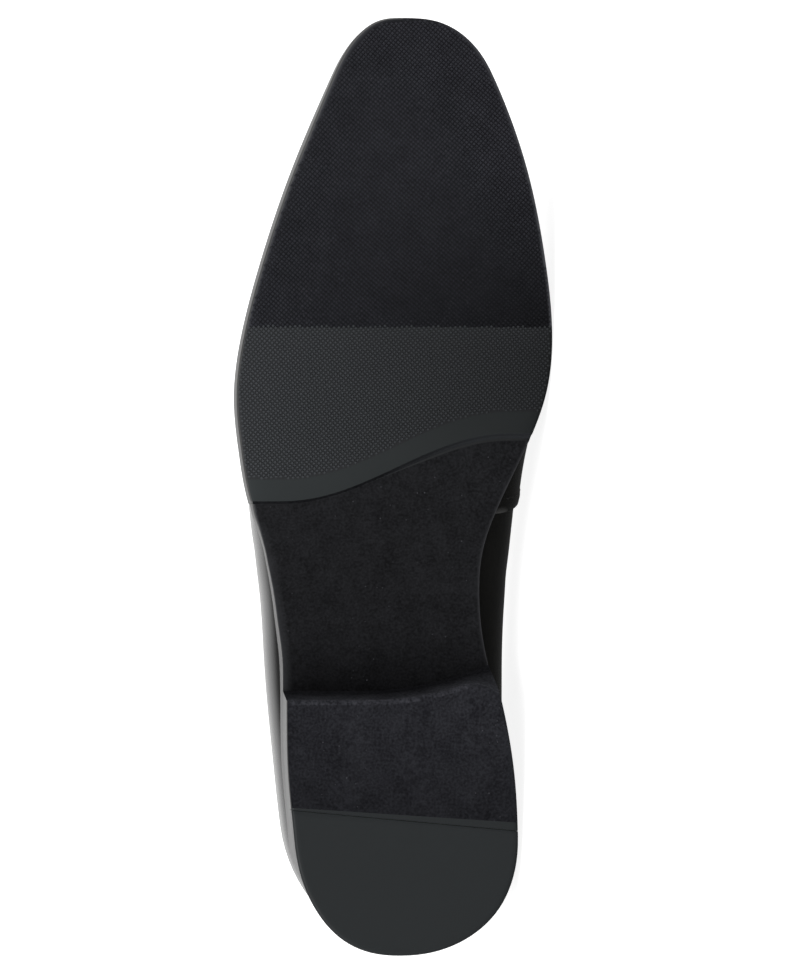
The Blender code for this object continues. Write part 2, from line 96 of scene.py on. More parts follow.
# Fine tread
POINT_PITCH, POINT_TURN = 1.09, math.radians(40)
POINT_BASE, POINT_TOP, POINT_HEIGHT, POINT_SUNK = 0.88, 0.5, 0.42, 0.12
POINT_BACK, POINT_RIM, POINT_RIM_INNER = 163.3, 1.4, 0.8
POINT_ROW, POINT_SIDES = 82, 4

# Heel, with the distance from its back to the flat spot that the record gives
HEEL_SPOT = 22.0
HEEL_TAPER, HEEL_ROUND, HEEL_SPLAY, SPLAY_SPAN = 0.7, 0.9, 1.0, 60.0
BREAST_BACK, BREAST_SWEEP, BREAST_FROM, BREAST_SPAN = 84.2, 7.2, -8.0, 34.0
BREAST_LEAN, BREAST_POWER = 2.0, 1.7
CORNER_FROM, CORNER_SPAN, CORNER_CUT = 18.0, 12.0, 7.0
FLOCK_RECESS = 0.3
LIP_LEAN, LIP_SHARE, LIP_END, LIP_WIDE = 0.15, 0.75, 19.0, 0.8
TIP_THICK, TIP_SLIT, TIP_ROUND = 6.0, 0.06, 0.35
TIP_LINE, TIP_SLANT = 43.7, -0.097
BAND_LINE, BAND_SLANT = 45.4, -0.071

# Upper, strap and insole
UPPER_WALL, TOPLINE_ROUND = 1.8, 0.75
LAST_BACK, LAST_TIP = 1.0, 297.6
LASTING_MARGIN = 5.0
ROUNDNESS = 2.1
WIDEST, RIDGE = 1.0, 2.0
THROAT_BACK, THROAT_FRONT, MOUTH_SHARE = 0.4, 0.48, 0.055
AXIS_BACK, AXIS_BACK_FROM = 50.0, 100.0
AXIS_TOE, AXIS_TOE_FROM = 266.0, 200.0
STRAP_THICK, STRAP_ROUND = 1.0, 0.4
STRAP_BACK_LOW, STRAP_BACK_HIGH = 141.5, 152.0
STRAP_FRONT_LOW, STRAP_FRONT_HIGH = 181.0, 172.0
STRAP_FOOT = 0.04
BEAD_HIGH, BEAD_IN, BEAD_WIDE = 0.35, 1.6, 1.3
SKIVE_DEEP, SKIVE_SHARE, SKIVE_TURN = 0.9, 0.4, 0.5
INSOLE_THICK, INSOLE_ROOM = 3.0, 1.0
INSOLE_LOW_ROUND, INSOLE_HIGH_ROUND = 0.3, 0.8

# Stitches
STITCH_LONG, STITCH_WIDE, STITCH_HIGH, STITCH_PITCH = 2.1, 0.5, 0.42, 2.6
TOPLINE_SEAM, STRAP_SEAM = 3.0, 2.4
STRAP_SEWN, THROAT_UNSEWN = (-0.5, 0.86), 0.004
STITCH_SIDES, STITCH_RINGS, SEAM_POINTS, SEAM_REACH = 6, 5, 300, 0.5

# Sections in each stretch of a piece, and points across it or round an edge
UPPER_STEPS = {"back": 18, "quarter": 34, "mouth": 14, "vamp": 72, "toe": 18, "low": 10, "high": 44}
STRAP_STEPS = {"around": 140, "wide": 14}
OUTSOLE_STEPS = {"back": 20, "waist": 44, "step": 7, "ball": 18, "tread": 34, "toe": 22}
OUTSOLE_ACROSS, OUTSOLE_EDGE = 26, 5
INSOLE_STEPS = {"back": 14, "side": 60, "toe": 14}
INSOLE_ACROSS, INSOLE_EDGE = 13, 3
HEEL_STEPS = {"back": 26, "side": 14, "breast": 48, "edge": 5, "wall": 8}
EDGE_STEPS, TIP_STEPS = 3, 2

# Which faces of heel, tip and tread points count as level, upright or turned to the front
POINT_LEVEL, FLOCK_LEVEL, TIP_LEVEL, BREAST_FRONT = 0.9, 0.6, 0.5, 0.35

# Size of the grain in each finish, in millimetres
FILM_TONE, FILM_WAVE, FILM_PEEL = 9.0, 14.0, 1.6
LEATHER_TONE, EDGE_TONE, EDGE_BRUSH, THREAD_TWIST = 12.0, 6.0, 0.9, 0.25
RUBBER_CLOUD, RUBBER_SPECK = 22.0, 0.35
FIBRE_SIZE, TUFT_SIZE, FLECK_SIZE = 0.8, 7.0, 1.8
FLOOR_TONE = 400.0

# Painted shade and highlight on the sole, and the heel flock's darkening towards its back: where each
# starts and stops in the lying frame, in metres, and how deep it is
BREAST_DEPTH, BREAST_DARK = (-0.046, -0.03), 0.6
BALL_INWARD, BALL_FRONT, BALL_BACK = (0.0, 0.095), (0.045, 0.105), (-0.05, -0.01)
BALL_DARK, TOE_DARK = 0.55, 0.85
STEP_INWARD = (0.022, 0.056)
HEEL_FADE, HEEL_DARK = (-0.104, -0.07), 0.34
WAIST_FADE, WAIST_DARK = (-0.066, -0.045), 0.4
RIM_LEAN, WAIST_RIM_INNER, TOE_RIM_INNER = (0.05, 0.45), 0.3, 1.0
BLACK, WHITE = (0.0, 0.0, 0.0), (1.0, 1.0, 1.0, 1.0)

# Fineness of the work: halvings of a search, merging of points, small moves, sharp edges and round ones
HALVINGS = 40
MERGE = 0.002
NUDGE = 0.001
LEAST_LENGTH = 1e-9
SHARP_ANGLE, CORNER_ANGLE = math.radians(40), math.radians(60)

# Camera: straight at the sole, turned a little towards the outer side, toe up
CAMERA_TILT = math.radians(5.3)
CAMERA_FAR, CAMERA_LENS, CAMERA_CLIP = 1600.0, 185.4, 100.0
AIM_ALONG, AIM_RIGHT, AIM_UP = 150.0, -2.13, -0.92

# Floor, broad light and the room, which is lightest behind the shoe and over it
FLOOR_SIZE, FLOOR_GLOW, FLOOR_PARTS = 30.0, 0.88, 8
SUN_FROM, SUN_POWER, SUN_WIDE = (-0.25, -0.75, 0.61), 3.0, math.radians(50)
SKY_AXIS, SKY_DARK, SKY_LIGHT, SKY_FROM, SKY_TO = (0.0, 0.8, 0.6), 0.08, 0.22, -0.15, 0.95
SKY_FOOT, SKY_BELOW = 0.1, 0.045

# Soft boxes at both ends, behind and over the shoe, and two low ones for the floor's gleam in the
# gloss: where each stands, its light, and where that starts and is full
SoftBox = namedtuple("SoftBox", "axis light start full")
SOFT_BOXES = [
    SoftBox((-0.88, 0.3, 0.37), 1.3, 0.76, 0.97),
    SoftBox((0.82, -0.1, 0.56), 1.3, 0.76, 0.97),
    SoftBox((0.0, 0.95, 0.31), 0.55, 0.81, 0.97),
    SoftBox((0.0, -0.3, 0.95), 0.6, 0.7, 0.95),
    SoftBox((-0.9, 0.3, -0.32), 0.7, 0.74, 0.95),
    SoftBox((0.9, 0.3, -0.32), 0.7, 0.74, 0.95),
]

# Half widths of the sole's edge on each side of the middle line
SoleRow = namedtuple("SoleRow", "along outer inner")
SOLE_ROWS = [
    SoleRow(0, 34.8, 35.6),
    SoleRow(38, 35.8, 36.4),
    SoleRow(62, 37.6, 34.8),
    SoleRow(84, 37.9, 30.6),
    SoleRow(101, 38.6, 26.8),
    SoleRow(116, 40.6, 25.2),
    SoleRow(130, 44.3, 25.9),
    SoleRow(145, 49.9, 30.8),
    SoleRow(160, 53.0, 37.4),
    SoleRow(178, 54.7, 44.4),
    SoleRow(195, 52.9, 46.7),
    SoleRow(222, 46.0, 44.6),
    SoleRow(250, 36.4, 39.4),
    SoleRow(280, 23.5, 29.3),
    SoleRow(300, 14.3, 20.1),
]

# Sections of the last: half widths at the widest, how high that is, the ridge and its lean
# to the inner side, and how far in from the sole's edge the upper meets the sole
LastRow = namedtuple("LastRow", "along outer inner swell ridge lean margin")
LAST_ROWS = [
    LastRow(0, 30.0, 34.0, 17.0, 140.0, 0.5, 4.0),
    LastRow(38, 36.7, 35.6, 17.0, 130.0, 0.5, 4.0),
    LastRow(62, 39.4, 35.2, 18.0, 117.0, 0.5, 3.6),
    LastRow(88, 41.8, 35.5, 20.0, 106.0, 0.0, 3.0),
    LastRow(114, 43.7, 36.1, 21.0, 100.0, -0.5, 3.0),
    LastRow(139, 47.5, 37.2, 19.0, 94.0, 0.0, 4.0),
    LastRow(160, 49.8, 39.0, 17.0, 83.5, 1.0, 5.6),
    LastRow(178, 51.3, 42.4, 15.0, 74.0, 1.5, 6.5),
    LastRow(195, 49.9, 44.0, 14.0, 65.5, 2.0, 7.0),
    LastRow(222, 43.7, 42.5, 13.0, 54.0, 2.8, 7.0),
    LastRow(250, 34.1, 37.2, 11.0, 45.0, 3.0, 6.8),
    LastRow(280, 21.2, 27.2, 9.0, 37.5, 3.2, 6.4),
    LastRow(300, 12.4, 19.0, 8.0, 33.0, 3.4, 6.2),
]

# Height of the collar's edge, seen from the side
ToplineRow = namedtuple("ToplineRow", "along height")
TOPLINE_ROWS = [
    ToplineRow(0, 86.5),
    ToplineRow(12, 85.5),
    ToplineRow(30, 80.5),
    ToplineRow(52, 73.5),
    ToplineRow(75, 70.0),
    ToplineRow(98, 71.0),
    ToplineRow(118, 77.0),
    ToplineRow(130, 84.0),
    ToplineRow(140, 96.0),
]

# Soft creases of the lasted patent: where the middle of each lies, how it is turned, its half length,
# half width and depth, with a minus for a ridge
CreaseRow = namedtuple("CreaseRow", "along across turn length width depth")
CREASE_ROWS = [
    CreaseRow(196, -24, 76, 26, 3.4, 0.22),
    CreaseRow(202, -20, 80, 24, 3.0, -0.12),
    CreaseRow(209, -17, 84, 22, 3.6, 0.18),
    CreaseRow(199, 27, 104, 20, 3.4, 0.2),
    CreaseRow(207, 24, 99, 18, 3.2, -0.1),
    CreaseRow(124, -34, 118, 17, 4.0, 0.2),
    CreaseRow(118, 30, 62, 15, 4.0, 0.18),
]


def spline(rows, name):
    """A natural cubic curve through one column of a table, by distance along the shoe."""
    at = np.array([row.along for row in rows], float)
    value = np.array([getattr(row, name) for row in rows], float)
    step = np.diff(at)
    rise = np.diff(value) / step
    bend = np.zeros(len(at))
    system = np.diag(2 * (step[:-1] + step[1:])) + np.diag(step[1:-1], 1) + np.diag(step[1:-1], -1)
    bend[1:-1] = np.linalg.solve(system, 6 * np.diff(rise))

    def curve(along):
        i = np.clip(np.searchsorted(at, along) - 1, 0, len(step) - 1)
        t = along - at[i]
        slope = rise[i] - step[i] * (2 * bend[i] + bend[i + 1]) / 6
        return value[i] + t * slope + t**2 * bend[i] / 2 + t**3 * (bend[i + 1] - bend[i]) / (6 * step[i])

    return curve


sole_outer, sole_inner = spline(SOLE_ROWS, "outer"), spline(SOLE_ROWS, "inner")
last_outer, last_inner = spline(LAST_ROWS, "outer"), spline(LAST_ROWS, "inner")
swell = spline(LAST_ROWS, "swell")
ridge = spline(LAST_ROWS, "ridge")
lean = spline(LAST_ROWS, "lean")
margin = spline(LAST_ROWS, "margin")
topline = spline(TOPLINE_ROWS, "height")


def sole_half(along, side):
    return np.where(side < 0, sole_outer(along), sole_inner(along))


def last_half(along, side):
    return np.where(side < 0, last_outer(along), last_inner(along))


def smoothstep(t):
    t = np.clip(t, 0.0, 1.0)
    return t * t * (3 - 2 * t)


def end_rounding(share):
    """How much of the half width is left at a share of the length: 1 at the sides, 0 at the tips."""
    toe = np.clip((share - TOE_SHARE) / (1 - TOE_SHARE), 0, 1)
    back = np.clip((BACK_SHARE - share) / BACK_SHARE, 0, 1)
    return (1 - toe**TOE_POWER) ** (1 / TOE_POWER) * (1 - back**BACK_POWER) ** (1 / BACK_POWER)


def end_shares(start, tip, power, count):
    """Shares from the start of a rounded end to its tip, evenly spread round the curve."""
    angles = np.linspace(0, math.pi / 2, count + 1)
    return start + (tip - start) * np.sin(angles) ** (2 / power)


def back_shares(count):
    return end_shares(BACK_SHARE, 0.0, BACK_POWER, count)


def whole_length(steps, *between):
    """Shares from the back to the toe, with these stretches between the two rounded ends."""
    toe = end_shares(TOE_SHARE, 1.0, TOE_POWER, steps["toe"])[1:]
    return np.concatenate([back_shares(steps["back"])[::-1], *between, toe])


def stretch(start, stop, steps):
    """Even steps from a start, which is left out, to a stop."""
    return np.linspace(start, stop, steps + 1)[1:]


def tread_line(along):
    """Height of the sole's underside over the ground: toe spring, flat ball, arch and heel seat."""
    spring = np.maximum(0.0, (along - FLAT_FRONT) / (SOLE_LENGTH - FLAT_FRONT))
    arch = smoothstep((FLAT_BACK - along) / (FLAT_BACK - SEAT_FRONT))
    return TOE_SPRING * spring**SPRING_POWER + SEAT_UNDER * arch


def feather(along):
    """Height at which the upper meets the sole."""
    return tread_line(along) + SOLE_THICK + GAP


def sole_point(share, side, inset=0.0):
    along = inset + (SOLE_LENGTH - 2 * inset) * share
    across = side * (sole_half(SOLE_LENGTH * share, side) - inset) * end_rounding(share)
    return along, across


def seat_tuck(share):
    """How far the outer edge of the seat is drawn in, round the back quarter of the heel."""
    along = SOLE_LENGTH * share
    return SEAT_TUCK * smoothstep(along / TUCK_BACK) * smoothstep((TUCK_FRONT - along) / TUCK_SPAN)


def back_lean(along):
    """How far the very back of sole and heel lies to the outer side."""
    return BACK_LEAN * np.clip(1 - along / LEAN_SPAN, 0, 1) ** 2


def seat_point(share, side, room=0.0):
    """Where the upper turns under on the sole, or this much farther in."""
    inset = margin(SOLE_LENGTH * share) + room
    return sole_point(share, side, inset)


def axis_point(share):
    """The point of the ridge that a section leads to. Sections fan out round the toe and the back."""
    along = LAST_BACK + (LAST_TIP - LAST_BACK) * share
    fans = ((AXIS_TOE_FROM, AXIS_TOE, LAST_TIP), (AXIS_BACK_FROM, AXIS_BACK, LAST_BACK))
    for start, stop, end in fans:
        past = np.clip((along - start) / (end - start), 0, 1)
        fanned = start + (stop - start) * (1 - (1 - past) ** ((end - start) / (stop - start)))
        along = np.where(past > 0, fanned, along)
    return along, lean(along)


def last_point(share, side, level):
    """Points of the last: level 0 is on the sole, 1 at the widest and 2 on the ridge."""
    seat = np.stack(np.broadcast_arrays(*seat_point(share, side)), -1)
    wide_along = LAST_BACK + (LAST_TIP - LAST_BACK) * share
    wide_across = side * last_half(SOLE_LENGTH * share, side) * end_rounding(share)
    wide = np.stack(np.broadcast_arrays(wide_along, wide_across), -1)
    axis = np.stack(axis_point(share), -1)
    foot = feather(seat[..., 0])
    middle = foot + swell(SOLE_LENGTH * share)
    low = np.clip(level, 0, WIDEST) * math.pi / 2
    high = np.clip(level - WIDEST, 0, 1) * math.pi / 2
    low_plan = seat + (wide - seat) * np.sin(low)[..., None]
    high_plan = axis + (wide - axis) * np.maximum(0, np.cos(high))[..., None] ** (2 / ROUNDNESS)
    low_height = foot + (middle - foot) * (1 - np.cos(low))
    high_height = middle + (ridge(high_plan[..., 0]) - middle) * np.sin(high) ** (2 / ROUNDNESS)
    lower = level <= WIDEST
    plan = np.where(lower[..., None], low_plan, high_plan)
    return np.concatenate([plan, np.where(lower, low_height, high_height)[..., None]], -1)


def throat_share():
    """Where the collar's edge crosses the ridge."""
    low, high = THROAT_BACK, THROAT_FRONT
    for _ in range(HALVINGS):
        middle = (low + high) / 2
        along = axis_point(middle)[0]
        if ridge(along) > topline(along):
            low = middle
        else:
            high = middle
    return high


THROAT = throat_share()


def collar_level(share, side):
    """The level at which the collar's edge cuts each section, or the ridge in front of the throat."""
    low = np.full(len(share), WIDEST)
    high = np.full(len(share), RIDGE)
    for _ in range(HALVINGS):
        middle = (low + high) / 2
        point = last_point(share, side, middle)
        under = point[:, 2] < topline(point[:, 0])
        low = np.where(under, middle, low)
        high = np.where(under, high, middle)
    return np.where(share >= THROAT, RIDGE, low)


def unit(vectors):
    return vectors / np.maximum(np.linalg.norm(vectors, axis=-1, keepdims=True), LEAST_LENGTH)


def last_normal(share, side, level):
    """Which way the last's surface looks, outwards."""
    share = np.clip(share, NUDGE, 1 - NUDGE)
    level = np.clip(level, NUDGE, RIDGE - NUDGE)
    ahead = last_point(share + NUDGE, side, level) - last_point(share - NUDGE, side, level)
    up = last_point(share, side, level + NUDGE) - last_point(share, side, level - NUDGE)
    return unit(np.cross(ahead, up)) * -np.asarray(side)[..., None]


def crease_depth(points):
    """How far the soft creases sink the patent at these points."""
    depth = np.zeros(len(points))
    for row in CREASE_ROWS:
        turn = math.radians(row.turn)
        along, across = points[:, 0] - row.along, points[:, 1] - row.across
        lengthwise = along * math.cos(turn) + across * math.sin(turn)
        crosswise = across * math.cos(turn) - along * math.sin(turn)
        reach = np.exp(-((lengthwise / row.length) ** 4) - (crosswise / row.width) ** 2)
        depth += row.depth * reach
    return depth


def lying_place():
    """The matrix that lays the standing shoe down, from the flat spots of heel and forefoot."""
    heel_spot, ball_spot = frame["record"]["mounts"]
    heel = Vector(heel_spot["pos_m"])
    ahead = (Vector(ball_spot["pos_m"]) - heel).normalized()
    up = -Vector(heel_spot["axis"]).normalized()
    turn = Matrix((ahead, up.cross(ahead), up)).transposed()
    start = heel - ahead * HEEL_SPOT * MM
    return Matrix.Translation(start) @ turn.to_4x4() @ Matrix.Scale(MM, 4)


LYING = lying_place()


def mapped_grid(columns, rows, place, zone=None):
    """A grid whose points go where place says by column and row. zone gives each face its finish."""
    bm = bmesh.new()
    bmesh.ops.create_grid(bm, x_segments=columns, y_segments=rows, size=1.0)
    flat = np.array([vert.co[:2] for vert in bm.verts])
    spread = (flat - flat.min(axis=0)) / np.ptp(flat, axis=0)
    counts = np.rint(spread * [columns, rows]).astype(int)
    if zone:
        bm.verts.index_update()
        for face in bm.faces:
            column, row = counts[[vert.index for vert in face.verts]].min(axis=0)
            face.material_index = zone(column, row)
    for vert, point in zip(bm.verts, place(counts[:, 0], counts[:, 1])):
        vert.co = point
    bmesh.ops.remove_doubles(bm, verts=bm.verts, dist=MERGE)
    return bm


def face_out(bm):
    """Turns an open surface so that its faces look away from its middle."""
    bm.normal_update()
    middle = sum((vert.co for vert in bm.verts), Vector()) / len(bm.verts)
    outward = 0.0
    for face in bm.faces:
        outward += (face.calc_center_median() - middle).dot(face.normal) * face.calc_area()
    if outward < 0:
        bmesh.ops.reverse_faces(bm, faces=bm.faces)


def make_piece(name, bm, materials, node=None):
    """Lays a standing mesh where the shoe lies and makes it a piece of the shoe."""
    bm.transform(LYING)
    mesh = bpy.data.meshes.new(name)
    bm.to_mesh(mesh)
    bm.free()
    for material in materials:
        mesh.materials.append(material)
    mesh.shade_smooth()
    mesh.set_sharp_from_angle(angle=SHARP_ANGLE)
    piece = bpy.data.objects.new(name, mesh)
    bpy.context.scene.collection.objects.link(piece)
    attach(piece, "root")
    if node:
        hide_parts(node)
    return piece


def thicken(piece, thickness, offset, rounding):
    """Gives a skin its wall, with the lining as its second finish, and rounds the wall's edges."""
    wall = piece.modifiers.new("wall", "SOLIDIFY")
    wall.thickness = thickness * MM
    wall.offset = offset
    wall.use_even_offset = True
    wall.material_offset = 1
    edge = piece.modifiers.new("edge", "BEVEL")
    edge.width = rounding * MM
    edge.segments = EDGE_STEPS
    edge.limit_method = "ANGLE"
    edge.angle_limit = CORNER_ANGLE


def upper_loop():
    """Sections round the whole upper, up the outer side and back along the inner one."""
    shares = whole_length(
        UPPER_STEPS,
        stretch(BACK_SHARE, THROAT - MOUTH_SHARE, UPPER_STEPS["quarter"]),
        THROAT - MOUTH_SHARE * (1 - stretch(0, 1, UPPER_STEPS["mouth"])) ** 2,
        stretch(THROAT, TOE_SHARE, UPPER_STEPS["vamp"]),
    )
    loop_shares = np.concatenate([shares, shares[-2::-1]])
    sides = np.where(np.arange(len(loop_shares)) < len(shares), OUTER, INNER)
    sides[0] = sides[-1] = OUTER
    return loop_shares, sides


def make_upper(patent, lining):
    """The lasted patent, turned under on the sole, up over the widest and on to collar or ridge."""
    shares, sides = upper_loop()
    tops = collar_level(shares, sides)
    low_rows, high_rows = UPPER_STEPS["low"], UPPER_STEPS["high"]

    def place(column, row):
        share, side, top = shares[column], sides[column], tops[column]
        climb = np.clip((row - 1 - low_rows) / high_rows, 0, 1)
        low_level = np.clip((row - 1) / low_rows, 0, 1)
        level = np.where(row <= 1 + low_rows, low_level, WIDEST + climb * (top - WIDEST))
        points = last_point(share, side, level)
        points -= last_normal(share, side, level) * crease_depth(points)[:, None]
        inward = np.stack(axis_point(share), -1) - points[:, :2]
        turned = points[:, :2] + unit(inward) * LASTING_MARGIN
        under = row == 0
        points[under, :2] = turned[under]
        points[under, 2] = feather(turned[under, 0])
        return points

    bm = mapped_grid(len(shares) - 1, 1 + low_rows + high_rows, place)
    face_out(bm)
    upper = make_piece("patent_upper", bm, [patent, lining], "upper")
    thicken(upper, UPPER_WALL, -1, TOPLINE_ROUND)


def strap_spot(turn, width):
    """Share, side and level of points on the strap, by turn over the foot, -1 to 1, and width, 0 to 1."""
    level = RIDGE - np.abs(turn) * (RIDGE - STRAP_FOOT)
    high = smoothstep(level / RIDGE)
    back = STRAP_BACK_LOW + (STRAP_BACK_HIGH - STRAP_BACK_LOW) * high
    front = STRAP_FRONT_LOW + (STRAP_FRONT_HIGH - STRAP_FRONT_LOW) * high
    side = np.where(turn < 0, OUTER, INNER)
    return (back + (front - back) * width) / SOLE_LENGTH, side, level


def strap_points(turn, width, off):
    """Points of the strap, this far off the upper: beaded edges, and the outer back edge skived flat."""
    spot = strap_spot(turn, width)
    inset = np.minimum(width, 1 - width) * (STRAP_FRONT_LOW - STRAP_BACK_HIGH)
    skive = smoothstep(1 - width / SKIVE_SHARE) * smoothstep(-turn / SKIVE_TURN)
    bead = BEAD_HIGH * np.exp(-(((inset - BEAD_IN) / BEAD_WIDE) ** 2)) * (1 - skive)
    return last_point(*spot) + last_normal(*spot) * (off + bead - SKIVE_DEEP * skive)[:, None]


def make_strap(patent):
    """The saddle strap over the vamp, standing off the upper's own surface."""
    around, wide = STRAP_STEPS["around"], STRAP_STEPS["wide"]

    def place(column, row):
        return strap_points(row / around * 2 - 1, column / wide, GAP)

    bm = mapped_grid(wide, around, place)
    face_out(bm)
    strap = make_piece("saddle_strap", bm, [patent, patent], "strap")
    thicken(strap, STRAP_THICK, 1, STRAP_ROUND)


def sew(bm, line, normals):
    """Sews a row of stitches along a line of points."""
    steps = np.linalg.norm(np.diff(line, axis=0), axis=1)
    run = np.concatenate([[0], np.cumsum(steps)])
    count = int(run[-1] / STITCH_PITCH)
    for middle in (np.arange(count) + 0.5) * run[-1] / count:
        back, front = [
            Vector([np.interp(middle + reach, run, line[:, i]) for i in range(3)])
            for reach in (-SEAM_REACH, SEAM_REACH)
        ]
        spot = (back + front) / 2
        along = (front - back).normalized()
        normal = Vector([np.interp(middle, run, normals[:, i]) for i in range(3)])
        across = normal.cross(along).normalized()
        normal = along.cross(across)
        sides = (across * STITCH_WIDE / 2, normal * STITCH_HIGH / 2, along * STITCH_LONG / 2)
        place = Matrix.Translation(spot) @ Matrix(sides).transposed().to_4x4()
        bmesh.ops.create_uvsphere(
            bm, u_segments=STITCH_SIDES, v_segments=STITCH_RINGS, radius=1.0, matrix=place
        )


def make_stitches(thread):
    """Stitches under the collar's edge and along both edges of the strap."""
    bm = bmesh.new()
    shares, sides = upper_loop()
    tops = collar_level(shares, sides)
    unsewn = np.flatnonzero(shares >= THROAT - THROAT_UNSEWN)
    order = np.concatenate([np.arange(unsewn[-1] + 1, len(shares) - 1), np.arange(0, unsewn[0])])
    share, side, top = shares[order], sides[order], tops[order]
    rise = last_point(share, side, top) - last_point(share, side, top - NUDGE)
    level = top - TOPLINE_SEAM / (np.linalg.norm(rise, axis=1) / NUDGE)
    sew(bm, last_point(share, side, level), last_normal(share, side, level))
    turn = np.linspace(*STRAP_SEWN, SEAM_POINTS)
    for edge in (0, 1):
        inset = STRAP_SEAM / (STRAP_FRONT_HIGH - STRAP_BACK_HIGH)
        width = np.full(len(turn), abs(edge - inset))
        sew(bm, strap_points(turn, width, GAP + STRAP_THICK), last_normal(*strap_spot(turn, width)))
    make_piece("stitches", bm, [thread])


# A spot of a sole's section: its share of the half width, how far it lies in from the edge, whether it
# is on the top, and its rise over that or over the tread
PlateSpot = namedtuple("PlateSpot", "q inset top rise")


def plate_profile(across, low_round, high_round, steps):
    """Spots round a section through a sole: along the top, down the inner edge, back under it and up."""
    angles = np.linspace(0, math.pi / 2, steps + 1)
    shoulder = [(high_round * (1 - math.sin(a)), -high_round * (1 - math.cos(a))) for a in angles[1:]]
    foot = [(low_round * (1 - math.cos(a)), low_round * (1 - math.sin(a))) for a in angles[:-1]]
    spots = [PlateSpot(q, high_round, 1, 0) for q in across]
    spots += [PlateSpot(1, inset, 1, rise) for inset, rise in shoulder]
    spots += [PlateSpot(1, inset, 0, rise) for inset, rise in foot]
    spots += [PlateSpot(q, low_round, 0, 0) for q in reversed(across)]
    spots += [PlateSpot(-1, inset, 0, rise) for inset, rise in reversed(foot)]
    spots += [PlateSpot(-1, inset, 1, rise) for inset, rise in reversed(shoulder)]
    return spots + spots[:1]


def pad_edge(across):
    """The S-curve at the back of the forefoot, measured from its middle."""
    turn = np.clip((across + STEP_SHIFT) / STEP_HALF, -1.0, 1.0)
    return STEP_SWING * np.sin(turn * math.pi / 2)


def outsole_shares():
    """Sections of the outsole, close together at the step, with one on the line where the flock ends."""
    wall = np.linspace(-STEP_FOOT, STEP_FOOT, OUTSOLE_STEPS["step"])
    behind = [-STEP_REACH, STEP_BEHIND, -STEP_RIM, -STEP_SHADE]
    near = (STEP_MIDDLE + np.concatenate([behind, wall, STEP_AHEAD, [BORDER_WIDE]])) / SOLE_LENGTH
    return whole_length(
        OUTSOLE_STEPS,
        stretch(BACK_SHARE, near[0], OUTSOLE_STEPS["waist"]),
        near[1:],
        stretch(near[-1], FLOCK_FRONT / SOLE_LENGTH, OUTSOLE_STEPS["ball"]),
        stretch(FLOCK_FRONT / SOLE_LENGTH, TOE_SHARE, OUTSOLE_STEPS["tread"]),
    )


def rim_shift(past, across):
    """Moves the bare rim under the step: a trace on the outer side, a band on the inner one."""
    wide = RIM_OUTER + (RIM_INNER - RIM_OUTER) * smoothstep((across - RIM_FROM) / RIM_SPAN)
    return (STEP_RIM - wide) * np.interp(past, [-STEP_REACH, -STEP_RIM, -STEP_FOOT], [0, 1, 0])


def make_outsole(finishes):
    """The long sole: bare border and rims, dark ground under the tread, flock and a dressed edge."""
    shares = outsole_shares()
    wide = np.linspace(-1, 1, OUTSOLE_ACROSS)
    spots = plate_profile(wide, TREAD_ROUND, WELT_ROUND, OUTSOLE_EDGE)
    q, inset, top, rise = np.array(spots).T
    bare, ground, waist, toe, dressed, shade = range(6)

    def place(column, row):
        share, on_top = shares[row], top[column]
        flat_along = share * SOLE_LENGTH
        past = flat_along - STEP_MIDDLE
        fade = 1 - smoothstep((np.abs(past) - STEP_FULL) / STEP_FADE)
        side = np.where(q[column] > 0, INNER, OUTER)
        bent = np.clip(share + fade * pad_edge(sole_point(share, side)[1]) / SOLE_LENGTH, 0, 1)
        outer_slim = np.interp(past, [-SLIM_SPAN, 0], [WAIST_SLIM, 1])
        seat_slim = np.interp(flat_along, [BREAST_BACK, SLIM_FRONT], [SEAT_SLIM, 1])
        seat_slim = np.where(on_top > 0, 1.0, seat_slim)
        flare = WALL_FLARE * (1 - on_top) * np.interp(flat_along, FLARE_REACH, [1, 0])
        welt = WAIST_WELT * on_top * np.interp(flat_along, WELT_REACH, [0, 1, 1, 0])
        filled = WAIST_FULL * smoothstep(np.interp(flat_along, FULL_REACH, [0, 1, 1, 0]))
        outer_inset = (inset[column] + flare) * outer_slim * seat_slim - welt - filled + seat_tuck(share)
        tucked = np.where(side == OUTER, outer_inset, inset[column] * seat_slim)
        across = sole_point(bent, side, tucked)[1] * np.abs(q[column])
        along = sole_point(share, side, tucked)[0] + fade * pad_edge(across) + rim_shift(past, across)
        lift = PAD_STEP * smoothstep(0.5 - past / STEP_RUN)
        thick = np.where(on_top > 0, SOLE_THICK + WELT_LIFT, lift)
        height = tread_line(along) + thick + rise[column] * seat_slim
        return np.stack([along, across - back_lean(along), height], -1)

    def zone(column, row):
        spot, after = spots[column], spots[column + 1]
        middle = (shares[row] + shares[row + 1]) / 2 * SOLE_LENGTH
        past = middle - STEP_MIDDLE
        edge = EDGE_OUTER if spot.q < 0 else EDGE_INNER
        if spot.top or after.top or min(spot.inset, after.inset) < edge:
            return dressed
        if middle > FLOCK_FRONT:
            return toe
        if past > BORDER_WIDE:
            return ground
        # The step's wall and a strip behind it take a dark flock, a painted shadow line under the step
        if -STEP_SHADE < past < STEP_FOOT:
            return shade
        if past > 0:
            return bare
        return ground if past > -STEP_RIM else waist

    bm = mapped_grid(len(spots) - 1, len(shares) - 1, place, zone)
    bmesh.ops.recalc_face_normals(bm, faces=bm.faces)
    make_piece("outsole_finish", bm, finishes, "outsole")


